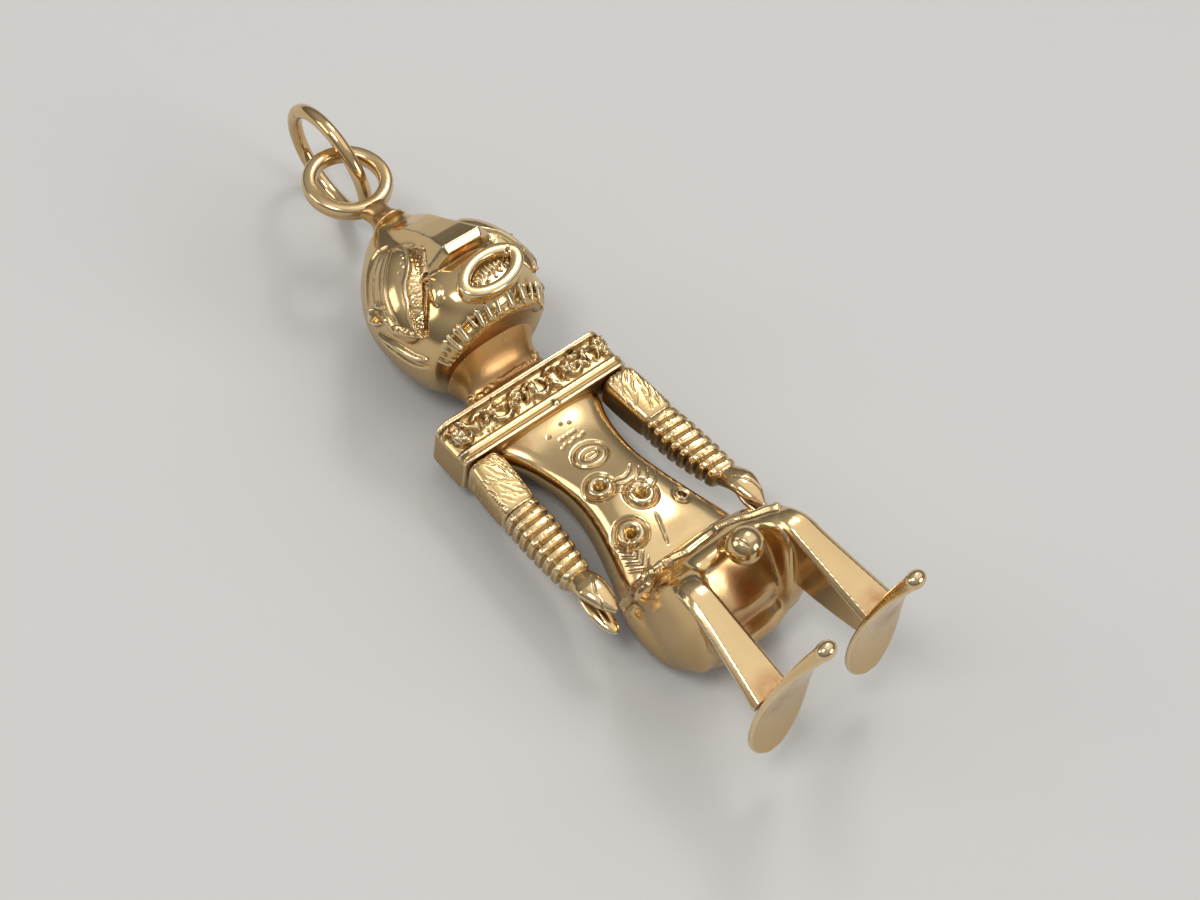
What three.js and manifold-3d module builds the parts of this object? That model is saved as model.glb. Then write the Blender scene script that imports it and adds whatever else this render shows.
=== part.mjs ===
// A cast and soldered gold figure pendant, in millimetres.
// +X is the figure's left, +Y runs up the figure to its ring and +Z is its front.
// It lies on its back on Z = 0, and Y = 0 is the middle of the seat's flat.
import * as THREE from 'three';
import { mergeVertices } from 'three/addons/utils/BufferGeometryUtils.js';
import Module from 'manifold-3d';

const wasm = await Module();
wasm.setup();

// Joints, and the reach of the blocks that cut a piece flat
const solderGap = 0.05;
const swingGap = 0.06;
const cutReach = 60;

// Seat, lap and bead
const seatTop = 3.0;
const seatBottom = -3.1;
const seatHalfWidth = 4.5;
const seatFront = 4.6;
const lapTop = 2.6;
const lapBottom = -2.2;
const lapHalfWidth = 4.25;
const lapFront = 7.35;
const lapBack = 2.5;
const beadRadius = 1.0;
const beadForward = 8.5;
const beadDrop = 0.5;
const pegRadius = 0.48;
const pegStart = 0.7;

// Torso
const torsoHeight = 10.4;
const torsoTopHalf = 3.62;
const waistHalf = 2.45;
const hipHalf = 3.9;
const bellyFront = 4.6;

// Shoulder bar
const barHalfWidth = 5.7;
const barHeight = 2.8;
const barDepth = 3.1;
const barFront = 4.0;
const friezeSink = 0.14;
const ridgeHeight = 0.2;
const lipHeight = 0.62;

// Arms
const armInner = 3.72;
const armOuter = 6.15;
const blockHeight = 3.4;
const forearmHeight = 5.0;
const handHeight = 2.9;
const armFront = 4.05;
const armThickness = 2.0;
const bangleCount = 8;
const bangleRelief = 0.14;
const handClearance = 0.12;

// Neck and head
const neckHeight = 2.0;
const neckHalfWidth = 2.55;
const neckFlare = 0.6;
const neckTopFront = 5.2;
const headHeight = 9.3;
const headHalfWidth = 4.5;
const faceFront = 9.5;
const noseTip = 10.35;
const noseHeight = 3.95;
const noseHalfWidth = 1.3;
const noseRoot = 5.2;
const noseBrow = 6.9;
const noseTopShare = 0.8;
const nostrilRise = 0.25;
const browDrop = 0.8;
const eyeHalfWidth = 1.6;
const eyeHalfHeight = 2.7;
const eyeDepth = 1.35;
const eyeCentreX = 3.0;
const eyeAboveJaw = 4.05;
const eyeForward = 6.95;
const eyeAlong = new THREE.Vector3(-0.4, 0.88, 0.2);
const eyeOutward = new THREE.Vector3(0.6, 0.1, 0.79);
const earRadius = 0.75;
const earForward = 5.35;
const earAboveJaw = 4.7;
const muzzleHalfWidth = 2.7;
const muzzleHalfHeight = 2.5;
const muzzleAboveJaw = 2.1;
const muzzleForward = 7.9;
const muzzleDepth = 1.3;
const headBack = -0.08;

// Mouth and beard
const mouthHalfWidth = 2.35;
const mouthHalfHeight = 1.22;
const mouthBand = 0.55;
const mouthRelief = 0.62;
const mouthAboveJaw = 1.0;
const mouthSeatDepth = 0.3;
const mouthSeatRim = 0.25;
const beardHeight = 0.6;
const beardWidth = 1.3;
const beardStrokes = 18;
const beardCentreZ = 4.9;
const beardShare = 0.82;
const beardSetBack = 0.35;
const beardSweep = 66;
const beardNotch = 0.08;
const beardTaper = 0.15;
const beardEndShare = 0.35;

// Eyelet, its stem and the ring
const stemHeight = 1.3;
const stemRadius = 0.72;
const stemFoot = 1.02;
const stemForward = 5.7;
const eyeletOuter = 2.56;
const eyeletInner = 1.75;
const eyeletThickness = 0.9;
const eyeletFlat = 0.1;
const eyeletEdge = 0.22;
const ringWire = 0.42;
const ringRadius = 3.36;
const ringLift = 0.06;
const hookAngle = 25;
const ringTurn = 8;

// Legs and feet
const legInner = 2.62;
const kneeOuter = 4.25;
const ankleOuter = 5.08;
const kneeFront = 8.0;
const kneeTop = -0.45;
const kneeRound = 0.8;
const ankleFront = 7.15;
const ankleDrop = 6.85;
const ankleBack = 5.6;
const calfBack = 4.7;
const thighUnder = -2.6;
const calfEdge = 0.6;
const calfStart = 0.2;
const calfEnd = 0.6;
const thighDraw = 0.45;
const thighRoot = 2.6;
const thighRise = 0.5;
const hollowRound = 0.6;
const shinOverrun = 1.5;
const footHeel = 2.7;
const footToe = 12.7;
const footHalfWidth = 1.9;
const footThickness = 0.45;
const toeThickness = 0.8;
const heelCentreX = 3.5;
const toeCentreX = 3.0;
const heelArch = 0.85;
const toeArch = 0.6;

const barBottom = seatTop + torsoHeight;
const barTop = barBottom + barHeight;
const headBottom = barTop + neckHeight;
const crownTop = headBottom + headHeight;
const stemTop = crownTop + stemHeight;
const eyeletCentre = stemTop - eyeletFlat + eyeletOuter;
const blockBottom = barBottom - blockHeight;
const wristY = blockBottom - forearmHeight;

function goldMaterial(colour, roughness) {
  return new THREE.MeshStandardMaterial({ color: colour, metalness: 1, roughness });
}

const polishedGold = { colour: '#d9b26a', roughness: 0.18 };
const textureGold = { colour: '#c79a55', roughness: 0.38 };
const wireGold = { colour: '#d4a860', roughness: 0.15 };
const solderGold = { colour: '#b98348', roughness: 0.35 };

const pendant = new THREE.Group();

function addPiece(name, geometry, look) {
  const piece = new THREE.Mesh(geometry, goldMaterial(look.colour, look.roughness));
  piece.name = name;
  pendant.add(piece);
  return piece;
}

// Solids for cutting and joining
function toSolid(geometry) {
  const bare = geometry.clone();
  bare.deleteAttribute('normal');
  bare.deleteAttribute('uv');
  const merged = mergeVertices(bare, 1e-4);
  return new wasm.Manifold(new wasm.Mesh({
    numProp: 3,
    vertProperties: new Float32Array(merged.attributes.position.array),
    triVerts: new Uint32Array(merged.index.array),
  }));
}

function toGeometry(solid) {
  const mesh = solid.getMesh();
  const geometry = new THREE.BufferGeometry();
  geometry.setAttribute('position', new THREE.BufferAttribute(mesh.vertProperties, 3));
  geometry.setIndex(new THREE.BufferAttribute(mesh.triVerts, 1));
  geometry.computeVertexNormals();
  return geometry;
}

function boxSolid(low, high) {
  const size = new THREE.Vector3().subVectors(high, low);
  const box = new THREE.BoxGeometry(size.x, size.y, size.z);
  box.translate((low.x + high.x) / 2, (low.y + high.y) / 2, (low.z + high.z) / 2);
  return toSolid(box);
}

function ballGeometry(centre, radii, across = 24, down = 16) {
  const ball = new THREE.SphereGeometry(1, across, down);
  ball.scale(radii.x, radii.y, radii.z);
  ball.translate(centre.x, centre.y, centre.z);
  return ball;
}

// A closed body through oval sections along Y; each section gives its sides in X and Z
function sectionAt(stations, t) {
  const section = {};
  for (const key of ['left', 'right', 'front', 'back']) {
    const track = new THREE.SplineCurve(stations.map((s) => new THREE.Vector2(s.y, s[key])));
    const point = track.getPoint(t);
    section.y = point.x;
    section[key] = point.y;
  }
  return section;
}

function ovalPoint(section, angle, squareness, grow) {
  const power = 2 / squareness;
  const c = Math.cos(angle);
  const s = Math.sin(angle);
  const halfX = (section.left - section.right) / 2 + grow;
  const halfZ = (section.front - section.back) / 2 + grow;
  return new THREE.Vector3(
    (section.left + section.right) / 2 + halfX * Math.sign(c) * Math.abs(c) ** power,
    section.y,
    (section.front + section.back) / 2 + halfZ * Math.sign(s) * Math.abs(s) ** power,
  );
}

function loft(stations, { rings = 16, sides = 32, squareness = 2, grow = 0, relief = () => 0 } = {}) {
  const positions = [];
  const index = [];
  for (let ring = 0; ring <= rings; ring += 1) {
    const t = ring / rings;
    const section = sectionAt(stations, t);
    for (let side = 0; side < sides; side += 1) {
      const angle = (side / sides) * 2 * Math.PI;
      positions.push(...ovalPoint(section, angle, squareness, grow + relief(t)).toArray());
    }
  }
  for (let ring = 0; ring < rings; ring += 1) {
    for (let side = 0; side < sides; side += 1) {
      const a = ring * sides + side;
      const b = ring * sides + (side + 1) % sides;
      index.push(a, a + sides, b, b, a + sides, b + sides);
    }
  }
  for (const ring of [0, rings]) {
    const section = sectionAt(stations, ring / rings);
    const hub = positions.length / 3;
    positions.push((section.left + section.right) / 2, section.y, (section.front + section.back) / 2);
    for (let side = 0; side < sides; side += 1) {
      const a = ring * sides + side;
      const b = ring * sides + (side + 1) % sides;
      index.push(...(ring === 0 ? [hub, a, b] : [hub, b, a]));
    }
  }
  const geometry = new THREE.BufferGeometry();
  geometry.setAttribute('position', new THREE.Float32BufferAttribute(positions, 3));
  geometry.setIndex(index);
  return geometry;
}

// The stations run upwards in Y so that the faces point out
function station(y, half, front, back) {
  return { y, left: half, right: -half, front, back };
}

function aboveFloor(solid) {
  const low = new THREE.Vector3(-cutReach, -cutReach, -cutReach);
  return solid.subtract(boxSolid(low, new THREE.Vector3(cutReach, cutReach, 0)));
}

// Height, width share, how far the front draws back, and the back of each section
const seatSections = [
  [seatBottom, 0.42, 1.9, 1.6],
  [seatBottom * 0.82, 0.68, 1.2, 0.85],
  [seatBottom * 0.45, 0.93, 0.5, 0.05],
  [0, 1, 0, -0.12],
  [seatTop * 0.5, 1, 0, -0.05],
  [seatTop, 0.922, 0.2, 0.3],
];
const lapSections = [
  [lapBottom, 0.55, lapFront - seatFront, lapBack],
  [lapBottom * 0.68, 0.72, 1.95, lapBack],
  [lapBottom * 0.27, 0.86, 0.85, lapBack],
  [lapTop * 0.12, 0.94, 0, lapBack],
  [lapTop * 0.42, 0.98, 0.35, lapBack],
  [lapTop * 0.73, 1, 1.35, lapBack],
  [lapTop, 0.98, lapFront - seatFront - 0.35, lapBack],
];

// Seat, resting on a small flat at Z = 0
function sectionedSolid(sections, halfWidth, front, grow) {
  const stations = sections.map(([y, widthShare, drawBack, back]) => (
    station(y, halfWidth * widthShare, front - drawBack, back)
  ));
  return toSolid(loft(stations, { rings: 12, sides: 32, squareness: 2.5, grow }));
}

function seatSolid(grow) {
  return sectionedSolid(seatSections, seatHalfWidth, seatFront, grow);
}

// The lap joins the thighs in front of the belly
function lapSolid(grow) {
  return sectionedSolid(lapSections, lapHalfWidth, lapFront, grow);
}

function pelvisSolid(grow) {
  return seatSolid(grow).add(lapSolid(grow));
}

function makeSeat() {
  addPiece('pelvis', toGeometry(aboveFloor(pelvisSolid(0))), polishedGold);
}

function makeTorso() {
  const waistY = seatTop + torsoHeight * 0.6;
  const stations = [
    station(seatTop, hipHalf, bellyFront - 0.2, 0.35),
    station(seatTop + torsoHeight * 0.14, hipHalf * 0.87, bellyFront - 0.05, 0.45),
    station(seatTop + torsoHeight * 0.38, waistHalf * 1.09, bellyFront - 0.1, 0.9),
    station(waistY, waistHalf, bellyFront - 0.5, 1.2),
    station(seatTop + torsoHeight * 0.83, torsoTopHalf * 0.79, bellyFront - 0.9, 1.4),
    station(barBottom, torsoTopHalf, bellyFront - 1.05, 1.2),
  ];
  addPiece('torso', loft(stations, { rings: 18, sides: 36, squareness: 2.8 }), polishedGold);
}

// Bar with two ridges along its top edge, a sunk frieze and a rounded lip below
function makeShoulderBar() {
  const back = barFront - barDepth;
  const frieze = barFront - friezeSink;
  const lipTop = barBottom + lipHeight;
  const lipFront = barFront - 0.1;
  const side = new THREE.Shape();
  side.moveTo(-back, barBottom);
  side.lineTo(-back, barTop);
  side.lineTo(-barFront, barTop);
  side.lineTo(-barFront, barTop - ridgeHeight);
  side.lineTo(-frieze, barTop - ridgeHeight * 1.5);
  side.lineTo(-barFront, barTop - ridgeHeight * 2);
  side.lineTo(-frieze, barTop - ridgeHeight * 2.8);
  side.lineTo(-frieze, lipTop + 0.12);
  side.lineTo(-lipFront, lipTop);
  side.quadraticCurveTo(-(lipFront + 0.12), (lipTop + barBottom) / 2, -(lipFront - 0.35), barBottom);
  side.closePath();
  const length = 2 * barHalfWidth;
  const bar = new THREE.ExtrudeGeometry(side, { depth: length, bevelEnabled: false, curveSegments: 6 });
  bar.rotateY(Math.PI / 2);
  bar.translate(-barHalfWidth, 0, 0);
  addPiece('shoulder_bar', bar, textureGold);
}

// Arms, mirrored for the figure's right
function mirrored(geometry, sideSign) {
  if (sideSign > 0) {
    return geometry;
  }
  const copy = geometry.clone();
  copy.scale(-1, 1, 1);
  const index = copy.index.array;
  for (let i = 0; i < index.length; i += 3) {
    [index[i], index[i + 1]] = [index[i + 1], index[i]];
  }
  return copy;
}

function limbStation(y, inner, outer, front, thickness) {
  return { y, left: outer, right: inner, front, back: front - thickness };
}

function makeArm(sideName, sideSign) {
  const block = [
    limbStation(blockBottom, armInner + 0.05, armOuter - 0.1, armFront - 0.25, armThickness),
    limbStation(barBottom - blockHeight / 2, armInner, armOuter - 0.2, armFront - 0.1, armThickness + 0.2),
    limbStation(barBottom, armInner, armOuter - 0.35, armFront, armThickness + 0.4),
  ];
  const blockMesh = loft(block, { rings: 4, sides: 28, squareness: 5 });
  addPiece(`upper_arm_${sideName}`, mirrored(blockMesh, sideSign), textureGold);

  const forearm = [
    limbStation(wristY, armInner + 0.75, armOuter - 0.05, armFront - 0.15, armThickness - 0.45),
    limbStation(wristY + forearmHeight / 2, armInner + 0.15, armOuter, armFront - 0.2, armThickness - 0.1),
    limbStation(blockBottom, armInner + 0.2, armOuter - 0.15, armFront - 0.35, armThickness - 0.1),
  ];
  const ribs = (t) => bangleRelief * Math.abs(Math.sin(t * bangleCount * Math.PI)) - bangleRelief;
  const forearmMesh = loft(forearm, { rings: bangleCount * 4, sides: 20, squareness: 3.2, relief: ribs });
  addPiece(`forearm_${sideName}`, mirrored(forearmMesh, sideSign), textureGold);

  const palmInner = seatHalfWidth + handClearance;
  const hand = [
    limbStation(wristY - handHeight, palmInner + 0.45, palmInner + 0.75, armFront - 0.05, 0.35),
    limbStation(wristY - handHeight * 0.75, palmInner + 0.1, armOuter - 0.3, armFront + 0.15, 0.7),
    limbStation(wristY - handHeight * 0.35, palmInner - 0.1, armOuter + 0.05, armFront + 0.2, 0.9),
    limbStation(wristY, armInner + 0.85, armOuter - 0.15, armFront - 0.2, armThickness - 0.6),
  ];
  const handMesh = loft(hand, { rings: 9, sides: 24, squareness: 2.2 });
  addPiece(`hand_${sideName}`, mirrored(handMesh, sideSign), polishedGold);
}

// Leg: thigh, knee and tapering shin as one bent bar, with its calf drawn in towards the middle
function legSolid() {
  const profile = new THREE.Shape();
  const shinBottom = -ankleDrop - shinOverrun;
  profile.moveTo(thighRoot, kneeTop + thighRise);
  profile.lineTo(kneeFront - kneeRound, kneeTop);
  profile.quadraticCurveTo(kneeFront, kneeTop, kneeFront, kneeTop - kneeRound);
  profile.lineTo(ankleFront, -ankleDrop);
  profile.lineTo(ankleFront, shinBottom);
  profile.lineTo(ankleBack, shinBottom);
  profile.lineTo(calfBack, thighUnder - hollowRound);
  profile.quadraticCurveTo(calfBack, thighUnder, thighRoot, thighUnder);
  profile.closePath();
  const bar = new THREE.ExtrudeGeometry(profile, { depth: 1, steps: 2, bevelEnabled: false, curveSegments: 6 });
  const place = bar.attributes.position;
  for (let i = 0; i < place.count; i += 1) {
    const z = place.getX(i);
    const y = place.getY(i);
    const across = 1 - place.getZ(i);
    const down = THREE.MathUtils.clamp((kneeTop - y) / (kneeTop + ankleDrop), 0, 1);
    const frontHere = THREE.MathUtils.lerp(kneeFront, ankleFront, down);
    const depthShare = THREE.MathUtils.clamp((frontHere - z) / (kneeFront - calfBack), 0, 1);
    const drawIn = depthShare * THREE.MathUtils.smoothstep(down, calfStart, calfEnd);
    const outerHere = THREE.MathUtils.lerp(kneeOuter, ankleOuter, down);
    const outer = THREE.MathUtils.lerp(outerHere, legInner + calfEdge, Math.max(drawIn, thighDraw * depthShare));
    place.setXYZ(i, THREE.MathUtils.lerp(legInner, outer, across), y, z);
  }
  return toSolid(bar);
}

// Share of the length, share of the half width and share of the change to the toe's thickness
const footSections = [
  [0, 0.3, 0],
  [0.06, 0.7, 0],
  [0.18, 0.97, 0],
  [0.34, 1, 0],
  [0.52, 0.85, 0.05],
  [0.7, 0.56, 0.3],
  [0.85, 0.36, 0.8],
  [0.96, 0.28, 1],
  [1, 0.15, 0.6],
];

// A leaf-shaped sole, arched along its length and thicker at the toe
function footGeometry() {
  const length = footToe - footHeel;
  const stations = footSections.map(([along, widthShare, toeShare]) => {
    const middle = THREE.MathUtils.lerp(heelCentreX, toeCentreX, along);
    const half = footHalfWidth * widthShare;
    const thickness = THREE.MathUtils.lerp(footThickness, toeThickness, toeShare);
    return { y: footHeel + length * along, left: middle + half, right: middle - half, front: thickness, back: 0 };
  });
  const plate = loft(stations, { rings: 20, sides: 24, squareness: 4 });
  plate.rotateX(Math.PI / 2);
  const place = plate.attributes.position;
  for (let i = 0; i < place.count; i += 1) {
    const fromAnkle = (place.getZ(i) - ankleFront) / (length / 2);
    const arch = fromAnkle > 0 ? toeArch : heelArch;
    place.setY(i, place.getY(i) - ankleDrop - arch * fromAnkle ** 2);
  }
  return plate;
}

function makeLeg(sideName, sideSign) {
  const below = new THREE.BoxGeometry(cutReach, cutReach, cutReach);
  below.translate(0, solderGap - ankleDrop - cutReach / 2, 0);
  const leg = legSolid().subtract(toSolid(below)).subtract(pelvisSolid(solderGap));
  const body = toGeometry(leg.decompose().sort((a, b) => b.volume() - a.volume())[0]);
  addPiece(`leg_${sideName}`, mirrored(body, sideSign), polishedGold);
  const plate = toGeometry(toSolid(footGeometry()));
  addPiece(`foot_${sideName}`, mirrored(plate, sideSign), polishedGold);
}

function makeBead() {
  const centre = new THREE.Vector3(0, -beadDrop, beadForward);
  const start = new THREE.Vector3(0, pegStart, lapFront - pegRadius);
  const reach = new THREE.Vector3().subVectors(centre, start);
  const peg = new THREE.CylinderGeometry(pegRadius, pegRadius * 1.3, reach.length(), 16);
  peg.translate(0, reach.length() / 2, 0);
  const turn = new THREE.Quaternion().setFromUnitVectors(new THREE.Vector3(0, 1, 0), reach.clone().normalize());
  peg.applyQuaternion(turn);
  peg.translate(start.x, start.y, start.z);
  const ball = ballGeometry(centre, new THREE.Vector3(beadRadius, beadRadius, beadRadius), 24, 16);
  const bead = toSolid(ball).add(toSolid(peg)).subtract(pelvisSolid(solderGap));
  addPiece('front_bead', toGeometry(bead), polishedGold);
}

function makeNeck() {
  const back = barFront - barDepth + 0.1;
  const stations = [
    station(barTop, neckHalfWidth + neckFlare, barFront - 0.25, back + 0.1),
    station(barTop + neckHeight * 0.35, neckHalfWidth + neckFlare * 0.2, barFront - 0.35, back + 0.2),
    station(barTop + neckHeight * 0.7, neckHalfWidth, barFront + 0.25, back + 0.05),
    station(headBottom, neckHalfWidth + 0.2, neckTopFront, back - 0.05),
  ];
  addPiece('neck', loft(stations, { rings: 8, sides: 32, squareness: 2.4 }), solderGold);
}

// Head: an egg-shaped skull with a forward jaw, wedge nose, bulging eyes and small ears
function headStations() {
  const level = (share, width, front, back) => (
    station(headBottom + headHeight * share, headHalfWidth * width, front, back)
  );
  const crownHalf = stemFoot + 0.05;
  return [
    level(0, 0.84, faceFront - 0.35, headBack + 1.2),
    level(0.12, 0.95, faceFront, headBack + 0.45),
    level(0.27, 1, faceFront - 0.35, headBack + 0.05),
    level(0.45, 1, faceFront - 0.95, headBack),
    level(0.62, 0.94, faceFront - 1.3, headBack + 0.25),
    level(0.8, 0.76, faceFront - 2, headBack + 1.1),
    level(0.92, 0.54, faceFront - 2.75, headBack + 2.2),
    level(0.975, 0.37, faceFront - 3.25, headBack + 3.2),
    station(crownTop, crownHalf, stemForward + crownHalf, stemForward - crownHalf),
  ];
}

function noseSolid() {
  const tipY = headBottom + noseHeight;
  const browY = crownTop - browDrop;
  const side = new THREE.Shape();
  side.moveTo(noseRoot, tipY + nostrilRise);
  side.lineTo(faceFront - 1, tipY + nostrilRise);
  side.lineTo(noseTip, tipY);
  side.quadraticCurveTo(noseTip - noseHalfWidth, (tipY + browY) / 2, noseBrow, browY);
  side.lineTo(noseRoot, browY);
  side.closePath();
  const wedge = new THREE.ExtrudeGeometry(side, { depth: 2, bevelEnabled: false, curveSegments: 6 });
  const place = wedge.attributes.position;
  for (let i = 0; i < place.count; i += 1) {
    const z = place.getX(i);
    const y = place.getY(i);
    const across = 1 - place.getZ(i);
    const up = THREE.MathUtils.clamp((y - tipY) / (browY - tipY), 0, 1);
    place.setXYZ(i, across * noseHalfWidth * THREE.MathUtils.lerp(1, noseTopShare, up), y, z);
  }
  return toSolid(wedge);
}

// A long bean turned along the side of the face
function eyeSolid(sideSign) {
  const side = new THREE.Vector3(sideSign, 1, 1);
  const along = eyeAlong.clone().multiply(side).normalize();
  const outward = eyeOutward.clone().multiply(side);
  outward.addScaledVector(along, -outward.dot(along)).normalize();
  const across = new THREE.Vector3().crossVectors(along, outward);
  const eye = ballGeometry(new THREE.Vector3(), new THREE.Vector3(eyeHalfWidth, eyeHalfHeight, eyeDepth));
  eye.applyMatrix4(new THREE.Matrix4().makeBasis(across, along, outward));
  eye.translate(sideSign * eyeCentreX, headBottom + eyeAboveJaw, eyeForward);
  return toSolid(eye);
}

function earSolid(sideSign) {
  const centre = new THREE.Vector3(sideSign * headHalfWidth * 0.97, headBottom + earAboveJaw, earForward);
  const radii = new THREE.Vector3(earRadius * 0.55, earRadius, earRadius);
  return toSolid(ballGeometry(centre, radii, 16, 10));
}

function muzzleSolid() {
  const centre = new THREE.Vector3(0, headBottom + muzzleAboveJaw, muzzleForward);
  const radii = new THREE.Vector3(muzzleHalfWidth, muzzleHalfHeight, muzzleDepth);
  return toSolid(ballGeometry(centre, radii, 28, 16));
}

function makeHead() {
  const skull = toSolid(loft(headStations(), { rings: 22, sides: 36, squareness: 2.15 }));
  let head = skull.add(noseSolid()).add(muzzleSolid());
  for (const sideSign of [1, -1]) {
    head = head.add(eyeSolid(sideSign)).add(earSolid(sideSign));
  }
  const mouthY = headBottom + mouthAboveJaw;
  const jawCut = boxSolid(
    new THREE.Vector3(-cutReach, -cutReach, 0),
    new THREE.Vector3(cutReach, headBottom, cutReach),
  );
  const mouthCut = boxSolid(
    new THREE.Vector3(-cutReach, -cutReach, faceFront - mouthSeatDepth),
    new THREE.Vector3(cutReach, mouthY + mouthHalfHeight + mouthSeatRim, cutReach),
  );
  addPiece('head', toGeometry(aboveFloor(head.subtract(mouthCut).subtract(jawCut))), polishedGold);
}

// The mouth is an oval band on a small flat of the muzzle
function ovalPath(PathClass, halfWidth, halfHeight) {
  const path = new PathClass();
  path.absellipse(0, 0, halfWidth, halfHeight, 0, 2 * Math.PI, false, 0);
  return path;
}

function makeMouth() {
  const bevel = mouthBand * 0.3;
  const band = ovalPath(THREE.Shape, mouthHalfWidth - bevel, mouthHalfHeight - bevel);
  band.holes.push(ovalPath(THREE.Path, mouthHalfWidth - mouthBand + bevel, mouthHalfHeight - mouthBand + bevel));
  const ring = new THREE.ExtrudeGeometry(band, {
    depth: mouthRelief - 2 * bevel,
    bevelThickness: bevel,
    bevelSize: bevel,
    bevelSegments: 3,
    curveSegments: 28,
  });
  ring.translate(0, headBottom + mouthAboveJaw, faceFront - mouthSeatDepth + bevel);
  addPiece('mouth_ring', toGeometry(toSolid(ring)), polishedGold);
}

// The beard is a hatched fringe under the jaw's front edge
function makeBeard() {
  const jawX = headHalfWidth * beardShare;
  const jawZ = faceFront - beardSetBack - beardCentreZ;
  const sweep = THREE.MathUtils.degToRad(beardSweep);
  const steps = beardStrokes * 4;
  const outer = [];
  const inner = [];
  for (let i = 0; i <= steps; i += 1) {
    const angle = Math.PI / 2 - sweep + (2 * sweep * i) / steps;
    const notch = beardNotch * (1 - Math.cos((i / steps) * beardStrokes * 2 * Math.PI)) / 2;
    const taper = THREE.MathUtils.smoothstep(Math.min(i, steps - i) / steps, 0, beardTaper);
    const width = beardWidth * THREE.MathUtils.lerp(beardEndShare, 1, taper);
    outer.push(new THREE.Vector2((jawX - notch) * Math.cos(angle), beardCentreZ + (jawZ - notch) * Math.sin(angle)));
    inner.push(new THREE.Vector2((jawX - width) * Math.cos(angle), beardCentreZ + (jawZ - width) * Math.sin(angle)));
  }
  const fringe = new THREE.Shape([...outer, ...inner.reverse()]);
  const band = new THREE.ExtrudeGeometry(fringe, { depth: beardHeight, bevelEnabled: false });
  band.rotateX(Math.PI / 2);
  band.translate(0, headBottom, 0);
  addPiece('beard_band', toGeometry(toSolid(band)), textureGold);
}

// Stem on the crown, cut flat where the eyelet sits on it
function makeStem() {
  const profile = [
    new THREE.Vector2(0, crownTop),
    new THREE.Vector2(stemFoot, crownTop),
    new THREE.Vector2(stemFoot * 0.86, crownTop + stemHeight * 0.2),
    new THREE.Vector2(stemRadius, crownTop + stemHeight * 0.6),
    new THREE.Vector2(stemRadius * 0.94, stemTop),
    new THREE.Vector2(0, stemTop),
  ];
  const stem = new THREE.LatheGeometry(profile, 32);
  stem.translate(0, 0, stemForward);
  addPiece('crown_stem', toGeometry(toSolid(stem)), solderGold);
}

function makeEyelet() {
  const halfThick = eyeletThickness / 2;
  const edge = eyeletEdge;
  const profile = [
    new THREE.Vector2(eyeletInner + edge, -halfThick),
    new THREE.Vector2(eyeletOuter - edge, -halfThick),
    new THREE.Vector2(eyeletOuter, -halfThick + edge),
    new THREE.Vector2(eyeletOuter, halfThick - edge),
    new THREE.Vector2(eyeletOuter - edge, halfThick),
    new THREE.Vector2(eyeletInner + edge, halfThick),
    new THREE.Vector2(eyeletInner, halfThick - edge),
    new THREE.Vector2(eyeletInner, -halfThick + edge),
    new THREE.Vector2(eyeletInner + edge, -halfThick),
  ];
  const ring = new THREE.LatheGeometry(profile, 48);
  ring.rotateX(Math.PI / 2);
  ring.translate(0, eyeletCentre, stemForward);
  const below = boxSolid(
    new THREE.Vector3(-eyeletOuter, stemTop - eyeletOuter, stemForward - eyeletOuter),
    new THREE.Vector3(eyeletOuter, stemTop, stemForward + eyeletOuter),
  );
  addPiece('eyelet', toGeometry(toSolid(ring).subtract(below)), polishedGold);
}

// The jump ring hooks round the eyelet's section at hookAngle from its top and leans back on the surface
function makeJumpRing() {
  const hook = THREE.MathUtils.degToRad(hookAngle);
  const turn = THREE.MathUtils.degToRad(ringTurn);
  const sectionMiddle = (eyeletOuter + eyeletInner) / 2;
  const sectionHalf = Math.hypot(eyeletOuter - sectionMiddle, eyeletThickness / 2);
  const reach = ringRadius - ringWire - swingGap - sectionHalf;
  const centreZ = ringRadius * Math.cos(turn) + ringWire + ringLift;
  const lean = Math.asin(THREE.MathUtils.clamp((stemForward - centreZ) / (reach * Math.cos(turn)), -1, 1));
  const ring = new THREE.TorusGeometry(ringRadius, ringWire, 12, 52);
  ring.rotateY(Math.PI / 2 - turn);
  const piece = addPiece('jump_ring', ring, wireGold);
  piece.position.set(
    sectionMiddle * Math.sin(hook) + reach * Math.sin(lean) * Math.sin(turn),
    eyeletCentre + sectionMiddle * Math.cos(hook) + reach * Math.cos(lean),
    centreZ,
  );
}

makeSeat();
makeTorso();
makeShoulderBar();
for (const [sideName, sideSign] of [['left', 1], ['right', -1]]) {
  makeArm(sideName, sideSign);
  makeLeg(sideName, sideSign);
}
makeBead();
makeNeck();
makeHead();
makeMouth();
makeBeard();
makeStem();
makeEyelet();
makeJumpRing();

export default pendant;
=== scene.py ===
# Cast and soldered gold idol pendant, lying on its back on a pale surface
# Pieces are modelled in millimetres in the row frame and brought to metres when they are finished
import math

import bpy
import numpy as np
from mathutils import Matrix, Vector


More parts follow.
